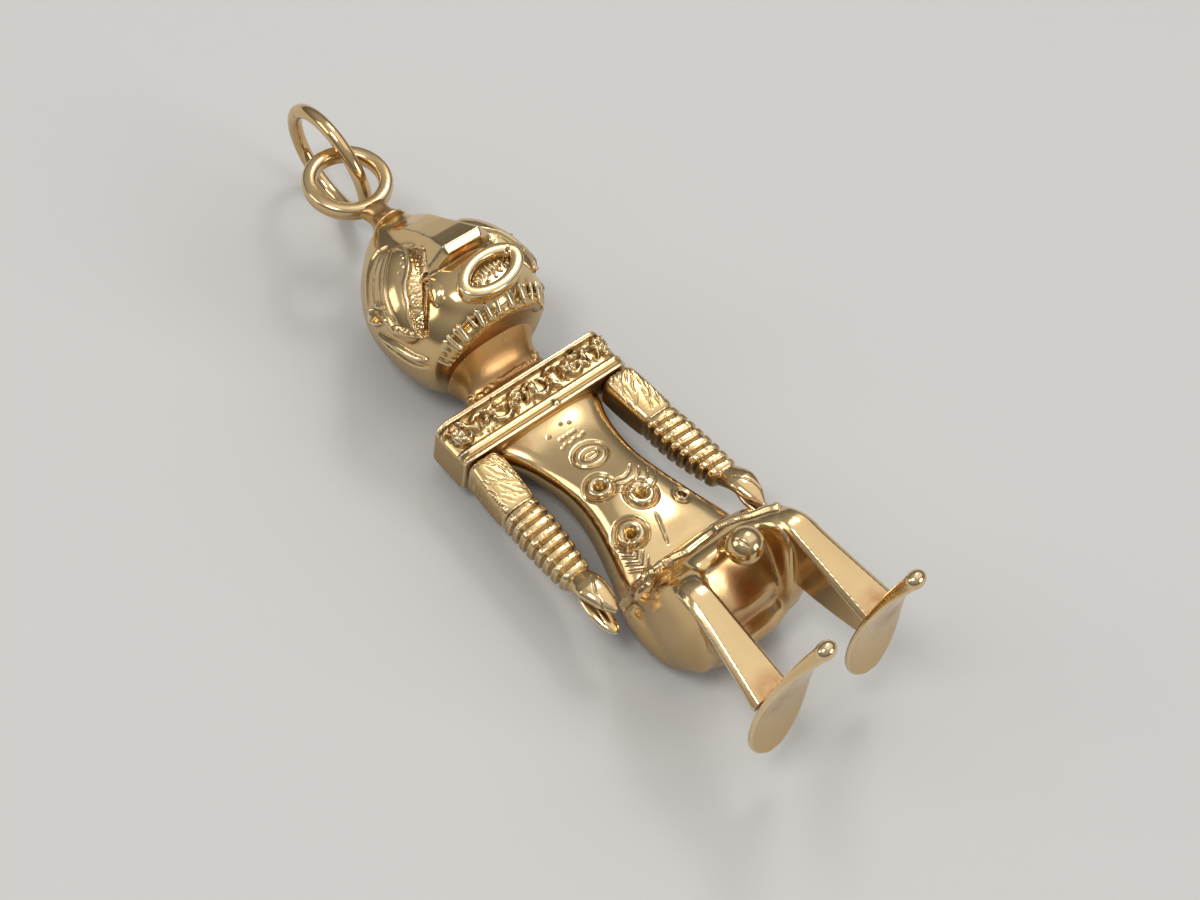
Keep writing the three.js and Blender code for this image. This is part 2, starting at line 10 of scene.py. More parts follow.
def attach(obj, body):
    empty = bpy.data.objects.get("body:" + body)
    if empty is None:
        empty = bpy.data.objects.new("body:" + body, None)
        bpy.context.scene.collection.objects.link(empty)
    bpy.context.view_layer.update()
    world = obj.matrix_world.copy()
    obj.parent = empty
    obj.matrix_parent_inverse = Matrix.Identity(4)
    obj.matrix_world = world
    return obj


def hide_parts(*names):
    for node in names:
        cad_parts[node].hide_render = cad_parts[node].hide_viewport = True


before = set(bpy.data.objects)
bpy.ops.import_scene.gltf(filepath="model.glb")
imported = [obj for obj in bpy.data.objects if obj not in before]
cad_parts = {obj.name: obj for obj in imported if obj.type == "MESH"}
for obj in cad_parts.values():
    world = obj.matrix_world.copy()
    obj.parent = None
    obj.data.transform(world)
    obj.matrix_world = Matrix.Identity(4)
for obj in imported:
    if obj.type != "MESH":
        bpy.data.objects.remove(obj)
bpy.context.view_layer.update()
bpy.ops.object.select_all(action="DESELECT")
scene = bpy.context.scene
metresPerMm = 0.001
mmPerMetre = 1000
randomMarks = np.random.default_rng(7)
between, jitter = randomMarks.uniform, randomMarks.standard_normal
sides = (("left", 1), ("right", -1))


# Small helpers for selecting, reading and finishing a piece
def pick(*pieces):
    bpy.ops.object.select_all(action="DESELECT")
    for piece in pieces:
        piece.select_set(True)
    bpy.context.view_layer.objects.active = pieces[0]


def applyPlace(piece):
    pick(piece)
    bpy.ops.object.transform_apply(location=True, rotation=True, scale=True)


def startEdit(piece):
    pick(piece)
    bpy.ops.object.mode_set(mode="EDIT")
    bpy.ops.mesh.select_all(action="SELECT")


def endEdit():
    bpy.ops.mesh.select_all(action="SELECT")
    bpy.ops.mesh.normals_make_consistent(inside=False)
    bpy.ops.object.mode_set(mode="OBJECT")


# A flat cut through the whole piece, closed with a face
def cutFlat(piece, place, normal, **cleared):
    startEdit(piece)
    bpy.ops.mesh.bisect(plane_co=place, plane_no=normal, use_fill=True, **cleared)
    bpy.ops.object.mode_set(mode="OBJECT")


def finishWith(piece, kind, **settings):
    pick(piece)
    modifier = piece.modifiers.new(kind.title(), kind)
    for key, value in settings.items():
        setattr(modifier, key, value)
    bpy.ops.object.modifier_apply(modifier=modifier.name)


def readPlaces(piece):
    places = np.zeros(len(piece.data.vertices) * 3)
    piece.data.vertices.foreach_get("co", places)
    return places.reshape(-1, 3)


def writePlaces(piece, places):
    piece.data.vertices.foreach_set("co", np.ascontiguousarray(places, float).ravel())
    piece.data.update()


def readNormals(piece):
    normals = np.zeros(len(piece.data.vertices) * 3)
    piece.data.vertex_normals.foreach_get("vector", normals)
    return normals.reshape(-1, 3)


def joined(name, parts):
    pick(*parts)
    if len(parts) > 1:
        bpy.ops.object.join()
    piece = bpy.context.view_layer.objects.active
    piece.name = piece.data.name = name
    return piece


# Voxel remeshing joins overlapping forms as a casting does, and the smoothing takes out its steps
# A piece's dictionary gives both: the voxel in mm and the rounds of smoothing
def cast(piece, voxel, smoothing):
    finishWith(piece, "REMESH", mode="VOXEL", voxel_size=voxel, use_smooth_shade=True)
    finishWith(piece, "SMOOTH", factor=0.5, iterations=smoothing)


def copyOfNode(node, name):
    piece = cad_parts[node].copy()
    piece.data = piece.data.copy()
    for key in list(piece.keys()):
        del piece[key]
    piece.parent = None
    piece.hide_render = piece.hide_viewport = False
    piece.name = piece.data.name = name
    scene.collection.objects.link(piece)
    piece.data.transform(Matrix.Scale(mmPerMetre, 4))
    startEdit(piece)
    bpy.ops.mesh.remove_doubles(threshold=0.001)
    bpy.ops.object.mode_set(mode="OBJECT")
    return piece


def copied(piece, name):
    other = piece.copy()
    other.data = piece.data.copy()
    other.name = other.data.name = name
    scene.collection.objects.link(other)
    return other


def mirroredCopy(piece, name):
    other = copied(piece, name)
    other.data.transform(Matrix.Scale(-1, 4, (1, 0, 0)))
    other.data.flip_normals()
    return other


def signedPower(values, power):
    return np.sign(values) * np.abs(values) ** power


def squaredCircle(sides, squareness):
    angles = np.arange(sides) * 2 * math.pi / sides
    x = signedPower(np.cos(angles), 2 / squareness)
    z = signedPower(np.sin(angles), 2 / squareness)
    return np.stack([x, np.zeros(sides), z], 1)


def smoothLevels(levels, count):
    levels = np.array(levels, float)
    steps = np.linspace(0, len(levels) - 1, count)
    low = np.clip(np.floor(steps).astype(int), 0, len(levels) - 2)
    share = (steps - low)[:, None]
    before = levels[np.clip(low - 1, 0, None)]
    here = levels[low]
    after = levels[low + 1]
    beyond = levels[np.clip(low + 2, None, len(levels) - 1)]
    return 0.5 * (
        2 * here
        + (after - before) * share
        + (2 * before - 5 * here + 4 * after - beyond) * share**2
        + (3 * here - before - 3 * after + beyond) * share**3
    )


# Rings stacked along Y, each with its y, right, left, back and front, grown by extruding a circle
def ringStack(name, levels, squareness, count, sides=24):
    if len(levels[0]) == 4:  # y, half width, front and back, where the two sides are alike
        levels = [(y, -half, half, back, front) for y, half, front, back in levels]
    bpy.ops.mesh.primitive_circle_add(
        vertices=sides, radius=1, fill_type="NGON", rotation=(math.pi / 2, 0, 0),
    )
    piece = bpy.context.object
    applyPlace(piece)
    writePlaces(piece, squaredCircle(sides, squareness))
    startEdit(piece)
    middle = Vector((0, 0, 0))
    half = Vector((1, 1, 1))
    for number, (y, right, left, back, front) in enumerate(smoothLevels(levels, count)):
        nextMiddle = Vector(((right + left) / 2, y, (back + front) / 2))
        nextHalf = Vector(((left - right) / 2, 1, (front - back) / 2))
        step = nextMiddle - middle
        if number == 0:
            bpy.ops.transform.translate(value=step)
        else:
            bpy.ops.mesh.extrude_region_move(TRANSFORM_OT_translate={"value": step})
        bpy.ops.transform.resize(
            value=(nextHalf.x / half.x, 1, nextHalf.z / half.z), center_override=nextMiddle
        )
        middle, half = nextMiddle, nextHalf
    endEdit()
    finishWith(piece, "SUBSURF", levels=2, render_levels=2)
    piece.name = piece.data.name = name
    return piece


def ball(name, centre, radii, turn=None, segments=40, rings=24):
    bpy.ops.mesh.primitive_uv_sphere_add(segments=segments, ring_count=rings, radius=1)
    piece = bpy.context.object
    piece.data.transform(Matrix.Diagonal((*radii, 1)))
    if turn is not None:
        piece.data.transform(turn.to_4x4())
    piece.data.transform(Matrix.Translation(centre))
    piece.name = name
    return piece


# A rod with blunt rounded ends
def bar(name, start, end, radius, squash=1.0, sides=16, reach=0.0, bluntness=0.6):
    start, end = Vector(start), Vector(end)
    way = end - start
    bpy.ops.mesh.primitive_uv_sphere_add(segments=sides, ring_count=sides, radius=1)
    piece = bpy.context.object
    places = readPlaces(piece)
    half = way.length / 2 + reach
    places[:, 2] = signedPower(places[:, 2], bluntness) * half
    places[:, 0] *= radius
    places[:, 1] *= radius * squash
    writePlaces(piece, places)
    piece.data.transform(way.to_track_quat("Z", "Y").to_matrix().to_4x4())
    piece.data.transform(Matrix.Translation((start + end) / 2))
    piece.name = name
    return piece


# How far a stroke narrows at its ends, how round its section is, and the length below which it is a dot
graver = {"thinEnd": 0.4, "roundness": 1.5, "dotLength": 0.01, "smallest": 1e-9}


# A graver's stroke: points near each line sink along their normals, or rise where depth is negative
def carve(piece, strokes, width, depth, across=(1, 0, 0), up=(0, 1, 0), centre=(0, 0, 0),
          facing=0.25, taper=True):
    places, normals = readPlaces(piece), readNormals(piece)
    across, up = np.array(across, float), np.array(up, float)
    moved = places - np.array(centre, float)
    flat = np.stack([moved @ across, moved @ up], 1)
    everywhere = np.ones(len(places), bool)
    seen = everywhere if facing is None else normals @ np.cross(across, up) > facing
    nearest = np.full(len(places), np.inf)
    for stroke in strokes:
        line = np.array(stroke, float)
        if len(line) == 1:
            line = np.repeat(line, 2, axis=0)
        solid = line.shape[1] == 3
        points, allowed = (places, everywhere) if solid else (flat, seen)
        lengths = np.linalg.norm(np.diff(line, axis=0), axis=1)
        total = max(lengths.sum(), graver["smallest"])
        narrowed = taper and total > graver["dotLength"]
        run = 0.0
        for start, end, length in zip(line[:-1], line[1:], lengths):
            low, high = np.minimum(start, end) - width, np.maximum(start, end) + width
            near = np.nonzero(allowed & (points > low).all(1) & (points < high).all(1))[0]
            if len(near):
                span = end - start
                share = ((points[near] - start) @ span) / max(span @ span, graver["smallest"])
                share = np.clip(share, 0, 1)
                gap = np.linalg.norm(points[near] - start - share[:, None] * span, axis=1)
                reach = (run + share * length) / total
                swell = np.sin(math.pi * np.clip(reach, 0, 1))
                thin = graver["thinEnd"] + (1 - graver["thinEnd"]) * swell if narrowed else 1.0
                nearest[near] = np.minimum(nearest[near], gap / (width * thin))
            run += length
    groove = np.clip(1 - nearest**2, 0, 1) ** graver["roundness"]
    writePlaces(piece, places - normals * (depth * groove)[:, None])


def arcStroke(x, y, radius, first=0, last=360, points=10, squash=1.0):
    angles = np.radians(np.linspace(first, last, points))
    return np.stack([x + radius * np.cos(angles), y + radius * squash * np.sin(angles)], 1)


def circleStroke(x, y, radius, squash=1.0):
    return arcStroke(x, y, radius, points=29, squash=squash)


# Strokes drawn from random places in an area given by its x and y ranges
def scattered(count, area, draw):
    return [draw(np.array([between(*area[0]), between(*area[1])])) for _ in range(count)]


# A short straight stroke
def tick(start, angle, length):
    return [start, start + (length * math.cos(angle), length * math.sin(angle))]


# The same stroke again and again, each time shifted once more
def repeated(stroke, shift, count):
    return [np.array(stroke, float) + np.array(shift, float) * step for step in range(count)]


# Hollows and edges are read from the finished surface: hollows get tarnish mixed with painted shade, and
# edges a painted highlight
tarnishAndPaintedLight = {
    "radius": 0.35, "edgeHighlightStart": 0.15, "spread": 3, "leastSquare": 1e-8,
    # Painted shade and added roughness go on the sides and the back, most near the surface that it lies on
    "sideShadeLevel": 0.45, "sideShadeUpwardFade": 0.75, "lowShadeLevel": 1.15, "lowShadeHeight": 8,
}


def readTarnishFireAndPaintedLight(piece, firePoints):
    mesh = piece.data
    places, normals = readPlaces(piece), readNormals(piece)
    ends = np.zeros(len(mesh.edges) * 2, int)
    mesh.edges.foreach_get("vertices", ends)
    first, second = ends.reshape(-1, 2).T
    span = places[second] - places[first]
    square = np.maximum((span**2).sum(1), tarnishAndPaintedLight["leastSquare"])
    bend = np.zeros(len(places))
    count = np.zeros(len(places))
    for point, sign in ((first, 1), (second, -1)):
        np.add.at(bend, point, sign * (normals[point] * span).sum(1) / square)
        np.add.at(count, point, 1)
    bend /= np.maximum(count, 1)
    for _ in range(tarnishAndPaintedLight["spread"]):
        total = bend.copy()
        np.add.at(total, first, bend[second])
        np.add.at(total, second, bend[first])
        bend = total / (count + 1)
    # Concave places: tarnish mixed with painted shade
    tarnishAndShade = np.clip(bend * tarnishAndPaintedLight["radius"], 0, 1)
    # Convex edges: a painted highlight, paler than the gold
    edge = np.clip(-bend * tarnishAndPaintedLight["radius"] - tarnishAndPaintedLight["edgeHighlightStart"], 0, 1)
    # Painted shade on surfaces turned away from the top and on low places, joined to the hollows' value below
    paintedSideShade = np.clip(tarnishAndPaintedLight["sideShadeLevel"] - tarnishAndPaintedLight["sideShadeUpwardFade"] * normals[:, 2], 0, 1)
    paintedSideShade *= np.clip(tarnishAndPaintedLight["lowShadeLevel"] - places[:, 2] / tarnishAndPaintedLight["lowShadeHeight"], 0, 1)
    tarnishAndShade = np.maximum(tarnishAndShade, paintedSideShade)
    fire = np.zeros(len(places))
    for x, y, z, radius in firePoints:
        gap = np.linalg.norm(places - (x, y, z), axis=1)
        fire = np.maximum(fire, np.clip(1 - gap / radius, 0, 1))
    for name, values in (("tarnishAndShade", tarnishAndShade), ("edge", edge), ("fire", fire)):
        attribute = mesh.attributes.new(name, "FLOAT", "POINT")
        attribute.data.foreach_set("value", values.astype(np.float32))


def settle(piece, body, finish, nodes, firePoints=()):
    material, slotName = finish
    applyPlace(piece)
    readTarnishFireAndPaintedLight(piece, firePoints)
    piece.data.transform(Matrix.Scale(metresPerMm, 4))
    piece.data.materials.clear()
    piece.data.materials.append(material)
    pick(piece)
    bpy.ops.object.shade_smooth()
    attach(piece, body)
    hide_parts(*nodes)
    print("finished", piece.name, len(piece.data.polygons), "faces")


# A limb modelled on the figure's left is finished there, or is mirrored and finished on its right
def placeSide(source, part, sideName, sideSign, finish, firePoints):
    piece = source
    if sideSign < 0:
        piece = mirroredCopy(source, part)
        bpy.data.objects.remove(source)
    piece.name = piece.data.name = f"{part}_{sideName}_finished"
    firePoints = [(sideSign * x, y, z, radius) for x, y, z, radius in firePoints]
    settle(piece, "figure", finish, [f"{part}_{sideName}"], firePoints)


# Materials
def linear(hexColour):
    channels = [int(hexColour[i:i + 2], 16) / 255 for i in (1, 3, 5)]
    return [c / 12.92 if c <= 0.04045 else ((c + 0.055) / 1.055) ** 2.4 for c in channels] + [1.0]


# Links and values go to a node's inputs by name or number, and settings to the node itself
def addNode(tree, kind, links=None, values=None, **settings):
    node = tree.nodes.new("ShaderNode" + kind)
    for key, value in settings.items():
        setattr(node, key, value)
    for socket, value in (values or {}).items():
        node.inputs[socket].default_value = value
    for socket, source in (links or {}).items():
        tree.links.new(source, node.inputs[socket])
    return node


def mapRange(tree, source, span, least, most, **settings):
    limits = {"From Min": span[0], "From Max": span[1], "To Min": least, "To Max": most}
    return addNode(tree, "MapRange", {"Value": source}, limits, **settings).outputs["Result"]


# What the finishes share: pattern sizes in mm, bump heights in metres and added roughness
goldShared = {
    "blotchMm": 0.9, "blotchRange": (0.38, 0.62), "leastFire": 0.25,
    "brushTurn": (0.3, 0.2, 0.6), "brushStretch": (1, 0.08, 0.35),
    "detail": {"cloud": 4.0, "grain": 3.0, "scratch": 2.0, "blotch": 4.0},
    "scratchHeight": 0.00001, "grainHeight": 0.00003,
    "cloudRange": (0.3, 0.7), "smoother": 0.03, "rougher": 0.05,
    "hollowRoughness": 0.3, "fireRoughness": 0.18, "scratchMm": 0.3, "scratchStrength": 0.12,
}
# Inputs and output of a Mix node that mixes colours
mixFactor, mixFirst, mixSecond, mixResult = 0, 6, 7, 2


def goldFinish(name, slotName, own):
    look = {**goldShared, **own}
    material = bpy.data.materials.new(name)
    material.use_nodes = True
    tree = material.node_tree
    tree.nodes.clear()
    place = addNode(tree, "TexCoord").outputs["Object"]
    markAttributes = {}
    for key in ("tarnishAndShade", "edge", "fire"):
        markAttributes[key] = addNode(tree, "Attribute", attribute_name=key).outputs["Fac"]
    brushed = addNode(
        tree, "Mapping", {"Vector": place},
        {"Rotation": look["brushTurn"], "Scale": look["brushStretch"]},
    )
    noise = {}
    for key, detail in look["detail"].items():
        source = brushed.outputs["Vector"] if key == "scratch" else place
        noise[key] = addNode(
            tree, "TexNoise", {"Vector": source},
            {"Scale": mmPerMetre / look[f"{key}Mm"], "Detail": detail},
        ).outputs["Fac"]
    # Firescale is blotchy
    blotches = mapRange(tree, noise["blotch"], look["blotchRange"], look["leastFire"], look["fireStrength"])
    fireAmount = addNode(tree, "Math", {0: markAttributes["fire"], 1: blotches}, operation="MULTIPLY").outputs[0]
    # Tarnish and painted shade in the hollows, and painted shade on the sides and back
    tarnishAndShadeAmount = addNode(
        tree, "Math", {0: markAttributes["tarnishAndShade"]}, {1: look["tarnishAndShadeStrength"]},
        operation="MULTIPLY", use_clamp=True,
    ).outputs[0]
    tone = addNode(
        tree, "Mix", {mixFactor: noise["cloud"]},
        {mixFirst: linear(look["deepColour"]), mixSecond: linear(look["colour"])}, data_type="RGBA",
    ).outputs[mixResult]
    # Firescale, then tarnish with painted shade, then the painted highlight on the edges
    coats = ((fireAmount, "fireColour"), (tarnishAndShadeAmount, "tarnishAndShadeColour"), (markAttributes["edge"], "edgeHighlightColour"))
    for amount, key in coats:
        tone = addNode(
            tree, "Mix", {mixFactor: amount, mixFirst: tone},
            {mixSecond: linear(look[key])}, data_type="RGBA",
        ).outputs[mixResult]
    smoothest, roughest = look["roughness"] - look["smoother"], look["roughness"] + look["rougher"]
    rough = mapRange(tree, noise["cloud"], look["cloudRange"], smoothest, roughest)
    for amount, key in ((tarnishAndShadeAmount, "hollowRoughness"), (fireAmount, "fireRoughness")):
        rough = addNode(
            tree, "Math", {0: amount, 2: rough}, {1: look[key]},
            operation="MULTIPLY_ADD", use_clamp=True,
        ).outputs[0]
    normal = {}
    for key in ("scratch", "grain"):
        bump = addNode(
            tree, "Bump", {"Height": noise[key], **normal},
            {"Strength": look[f"{key}Strength"], "Distance": look[f"{key}Height"]},
        )
        normal = {"Normal": bump.outputs["Normal"]}
    surface = addNode(
        tree, "BsdfPrincipled", {"Base Color": tone, "Roughness": rough, **normal}, {"Metallic": 1.0},
    )
    addNode(tree, "OutputMaterial", {"Surface": surface.outputs["BSDF"]})
    return material, slotName


# In each finish the hollow colour is tarnish with painted shade, also painted on the sides and back, and the
# edge colour is a painted highlight
# 14 carat yellow gold, buffed: warm mirror with faint wheel marks, browner in its hollows and on its sides
#                               and back from tarnish and painted shade
polishedGold = goldFinish("polished_14ct_gold", "polished_gold", {
    "colour": "#e9cd9b", "deepColour": "#d8b47c", "tarnishAndShadeColour": "#5d4120", "edgeHighlightColour": "#f8edcf",
    "fireColour": "#b56a38", "fireStrength": 0.9, "tarnishAndShadeStrength": 0.95, "roughness": 0.15,
    "cloudMm": 3.0, "grainMm": 0.35, "grainStrength": 0.06,
})
# The same gold left as cast and engraved: satin, with a fine granular skin
engravedGold = goldFinish("engraved_14ct_gold", "textured_gold", {
    "colour": "#e6c992", "deepColour": "#cea66c", "tarnishAndShadeColour": "#4a3116", "edgeHighlightColour": "#fbf1d2",
    "fireColour": "#b9733c", "fireStrength": 0.5, "tarnishAndShadeStrength": 1.0, "roughness": 0.22,
    "cloudMm": 1.6, "grainMm": 0.16, "scratchMm": 0.2, "scratchStrength": 0.2, "grainStrength": 0.25,
})
# Gold at the soldered joints: duller and redder, with the orange-peel of heated metal
solderedGold = goldFinish("soldered_14ct_gold", "solder_gold", {
    "colour": "#d9b37c", "deepColour": "#c0945e", "tarnishAndShadeColour": "#5d3c1e", "edgeHighlightColour": "#f0d8a8",
    "fireColour": "#b5703f", "fireStrength": 0.7, "tarnishAndShadeStrength": 0.9, "roughness": 0.27,
    "cloudMm": 1.2, "grainMm": 0.22, "grainStrength": 0.22,
})
# Drawn and burnished gold wire
wireGold = goldFinish("drawn_gold_wire", "ring_gold", {
    "colour": "#e9c994", "deepColour": "#dcb57e", "tarnishAndShadeColour": "#6b4724", "edgeHighlightColour": "#f6e6c0",
    "fireColour": "#c07a45", "fireStrength": 0.4, "tarnishAndShadeStrength": 0.8, "roughness": 0.1,
    "cloudMm": 2.5, "grainMm": 0.4, "scratchMm": 0.25, "scratchStrength": 0.1, "grainStrength": 0.03,
})


# Camera, at the photograph's angle
photoCamera = {
    "place": (-42.6, -23.4, 82.1),
    "right": (0.7429, -0.6568, 0.1298),
    "up": (0.4935, 0.6682, 0.5567),
    "lens": 54,
    "sensor": 36,
}


def makeCamera():
    data = bpy.data.cameras.new("camera")
    data.lens = photoCamera["lens"]
    data.sensor_width = photoCamera["sensor"]
    data.clip_start = 0.005
    data.clip_end = 5
    camera = bpy.data.objects.new("camera", data)
    scene.collection.objects.link(camera)
    right = Vector(photoCamera["right"]).normalized()
    up = Vector(photoCamera["up"]).normalized()
    turn = Matrix((right, up, right.cross(up))).transposed().to_4x4()
    turn.translation = Vector(photoCamera["place"]) * metresPerMm
    camera.matrix_world = turn
    scene.camera = camera


# Studio: a pale floor, a pale sky that darkens to the horizon, a large dim panel and small bright lamps
studio = {
    "floorSize": 5.0, "floorHeight": -0.00002, "floorColour": "#d6d4d0", "floorRoughness": 0.7,
    "skyTop": 0.48, "skyEdge": 0.15, "aim": (0, 0.012, 0.004),
    # Place, size and watts of each lamp
    "lamps": [
        ((0.15, 0.03, 0.28), 0.34, 0.2), ((0.17, 0.13, 0.27), 0.07, 0.14), ((-0.145, 0.03, 0.29), 0.09, 0.24),
        ((-0.22, 0.16, 0.14), 0.12, 0.1), ((0.13, -0.25, 0.13), 0.12, 0.2),
    ],
}


def makeStudio():
    bpy.ops.mesh.primitive_plane_add(size=studio["floorSize"], location=(0, 0, studio["floorHeight"]))
    floor = bpy.context.object
    floor.name = "floor"
    applyPlace(floor)
    material = bpy.data.materials.new("pale_paper")
    material.use_nodes = True
    surface = material.node_tree.nodes["Principled BSDF"]
    surface.inputs["Base Color"].default_value = linear(studio["floorColour"])
    surface.inputs["Roughness"].default_value = studio["floorRoughness"]
    floor.data.materials.append(material)

    world = bpy.data.worlds.new("studio")
    world.use_nodes = True
    scene.world = world
    tree = world.node_tree
    sky = tree.nodes["Background"]
    sky.inputs["Color"].default_value = (1, 1, 1, 1)
    # The sky is palest overhead, as inside a light tent
    way = addNode(tree, "TexCoord").outputs["Generated"]
    height = addNode(tree, "SeparateXYZ", {"Vector": way}).outputs["Z"]
    strength = mapRange(
        tree, height, (0, 1), studio["skyEdge"], studio["skyTop"], interpolation_type="SMOOTHSTEP",
    )
    tree.links.new(strength, sky.inputs["Strength"])

    for number, (place, size, watts) in enumerate(studio["lamps"]):
        data = bpy.data.lights.new(f"softbox{number}", "AREA")
        data.energy = watts
        data.size = size
        light = bpy.data.objects.new(f"softbox{number}", data)
        scene.collection.objects.link(light)
        light.location = place
        aim = Vector(studio["aim"]) - Vector(place)
        light.rotation_euler = aim.to_track_quat("-Z", "Y").to_euler()


makeCamera()
makeStudio()
print("camera and studio ready")

scene.view_settings.view_transform = "Standard"


# Seat with the lap that joins the thighs, cut flat where it lies on the surface
seat = {
    "levels": [
        (-3.1, 1.9, 2.7, 1.6), (-2.5, 3.0, 3.4, 0.85), (-1.4, 4.15, 4.1, 0.05),
        (0.0, 4.5, 4.6, -0.12), (1.5, 4.5, 4.6, -0.05), (3.0, 4.15, 4.4, 0.3),
    ],
    "lapLevels": [
        (-2.2, 2.4, 4.6, 2.5), (-1.5, 3.1, 5.4, 2.5), (-0.6, 3.65, 6.4, 2.5),
        (0.3, 4.0, 7.1, 2.5), (1.1, 4.17, 6.9, 2.5), (1.9, 4.25, 6.0, 2.5),
        (2.6, 4.17, 4.95, 2.5),
    ],
    # y, inner x, outer x, back z, front z of a thigh
    "thighLevels": [
        (-2.9, 2.2, 3.4, 2.2, 4.2), (-2.3, 2.2, 4.0, 2.0, 5.9), (-1.75, 2.2, 4.3, 2.0, 7.2),
        (-1.2, 2.2, 4.4, 2.0, 7.85), (-0.6, 2.15, 4.42, 2.0, 7.98), (0.0, 2.0, 4.4, 2.0, 7.85),
        (0.8, 1.7, 4.3, 2.0, 7.15), (1.4, 1.6, 4.1, 2.0, 6.2),
    ],
    "cast": (0.1, 60),
    "clothEdge": [
        (-4.5, 2.85), (-4.03, 2.58), (-3.4, 2.5), (-2.65, 2.33), (-1.9, 2.28), (-1.3, 2.0), (-0.6, 2.04),
        (0.27, 2.02), (1.1, 2.1), (1.81, 1.85), (2.4, 1.5), (3.0, 0.95), (3.56, 0.59), (4.1, 0.8),
    ],
    "tear": 0.09, "underLip": (0.04, -0.34), "folds": 9, "foldArea": ((-4.3, -2.4), (1.7, 2.5)),
    # x, y, z and radius of the places that the torch reddened
    "fire": [(0, -2.4, 4.9, 3.2), (0.3, -1.2, 6.4, 2.4), (-4.2, 2.7, 4.4, 1.2), (4.2, 2.7, 4.4, 1.0)],
}


def makeSeat():
    body = ringStack("seatBody", seat["levels"], squareness=2.5, count=14, sides=28)
    lap = ringStack("lap", seat["lapLevels"], squareness=2.4, count=14, sides=28)
    thigh = ringStack("thigh", seat["thighLevels"], squareness=4, count=15)
    piece = joined("seat", [body, lap, thigh, mirroredCopy(thigh, "thighRight")])
    cast(piece, *seat["cast"])
    cutFlat(piece, (0, 0, 0), (0, 0, 1), clear_inner=True)
    # The loincloth's edge is a torn, crumpled lip
    torn = []
    for start, end in zip(seat["clothEdge"][:-1], seat["clothEdge"][1:]):
        for share in (0, 0.5):
            x = start[0] + (end[0] - start[0]) * share
            y = start[1] + (end[1] - start[1]) * share
            torn.append((x, y + between(-seat["tear"], seat["tear"])))
    carve(piece, [torn], width=0.26, depth=-0.2, taper=False, facing=0.0)
    carve(piece, [np.array(torn) + seat["underLip"]], width=0.24, depth=0.13, taper=False, facing=0.0)
    folds = scattered(seat["folds"], seat["foldArea"], lambda start: [
        start, start + (0.3, between(-0.1, 0.25)), start + (0.65, 0.05),
    ])
    carve(piece, folds, width=0.22, depth=-0.17, facing=0.0)
    settle(piece, "figure", polishedGold, ["pelvis"], seat["fire"])


# Torso with punched circles, chevrons and dots
torso = {
    "levels": [
        (2.6, 3.95, 4.4, 0.4), (3.4, 3.8, 4.45, 0.4), (4.46, 3.39, 4.55, 0.45),
        (6.95, 2.67, 4.5, 0.9), (9.24, 2.45, 4.1, 1.2), (11.6, 2.86, 3.7, 1.4),
        (13.0, 3.5, 3.6, 1.25), (13.5, 3.62, 3.55, 1.2),
    ],
    "rings": [(0.14, 6.36, 0.88), (-1.85, 4.92, 0.88), (-1.2, 8.05, 0.8), (1.9, 5.05, 0.45)],
    "innerShare": 0.62, "waist": (-0.13, 10.0), "waistLine": [(-0.4, 10.0), (0.2, 10.0)],
    # A stroke, its shift at each repeat and how often it is cut
    "chevrons": [
        ([(-3.2, 3.45), (-2.55, 2.9), (-2.05, 3.4)], [(0.12, 0.42), (0, 0.42), (0, 0.42)], 5),
        ([(-0.75, 3.3), (-0.5, 3.95)], (0.2, 0.5), 3),
    ],
    "punches": [
        ([(-0.9, 11.25)], (0.6, 0), 3), ([(-0.6, 11.35)], (0.6, 0), 3), ([(-0.6, 11.75)], (0.3, 0), 4),
        ([(0.05, 12.6)], (0.45, -0.2), 2), ([(-1.0, 12.3)], (0, 0), 1),
    ],
    # x, y and radius of an arc, their shift at each repeat and how often it is cut
    "arcs": ((0.2, 8.6, 0.9), (0.15, -0.25, 0.2), 4), "arcSpan": (200, 330),
    "cast": (0.065, 8),
    "fire": [(-2.6, 12.9, 3.4, 0.9), (3.4, 3.4, 3.2, 1.3), (-3.4, 3.4, 3.2, 1.2)],
}


def makeTorso():
    piece = ringStack("body_torso", torso["levels"], squareness=2.8, count=18)
    cast(piece, *torso["cast"])
    inner = [circleStroke(x, y, radius * torso["innerShare"]) for x, y, radius in torso["rings"]]
    carve(piece, inner, width=0.24, depth=-0.13, taper=False)
    outer = [circleStroke(x, y, radius) for x, y, radius in torso["rings"]]
    carve(piece, outer, width=0.15, depth=0.15, taper=False)
    dots = [[(x, y)] for x, y, radius in torso["rings"]]
    carve(piece, dots, width=0.33, depth=0.4, taper=False)
    ovals = [circleStroke(*torso["waist"], 0.5, squash=0.55), circleStroke(*torso["waist"], 1.0, squash=0.8)]
    carve(piece, ovals, width=0.14, depth=0.1, taper=False)
    carve(piece, [torso["waistLine"]], width=0.16, depth=0.12)
    chevrons = [stroke for family in torso["chevrons"] for stroke in repeated(*family)]
    carve(piece, chevrons, width=0.13, depth=0.09)
    arcs = [arcStroke(x, y, radius, *torso["arcSpan"]) for x, y, radius in repeated(*torso["arcs"])]
    carve(piece, arcs, width=0.09, depth=0.06)
    punches = [stroke for family in torso["punches"] for stroke in repeated(*family)]
    carve(piece, punches, width=0.11, depth=0.07, taper=False)
    settle(piece, "figure", polishedGold, ["torso"], torso["fire"])


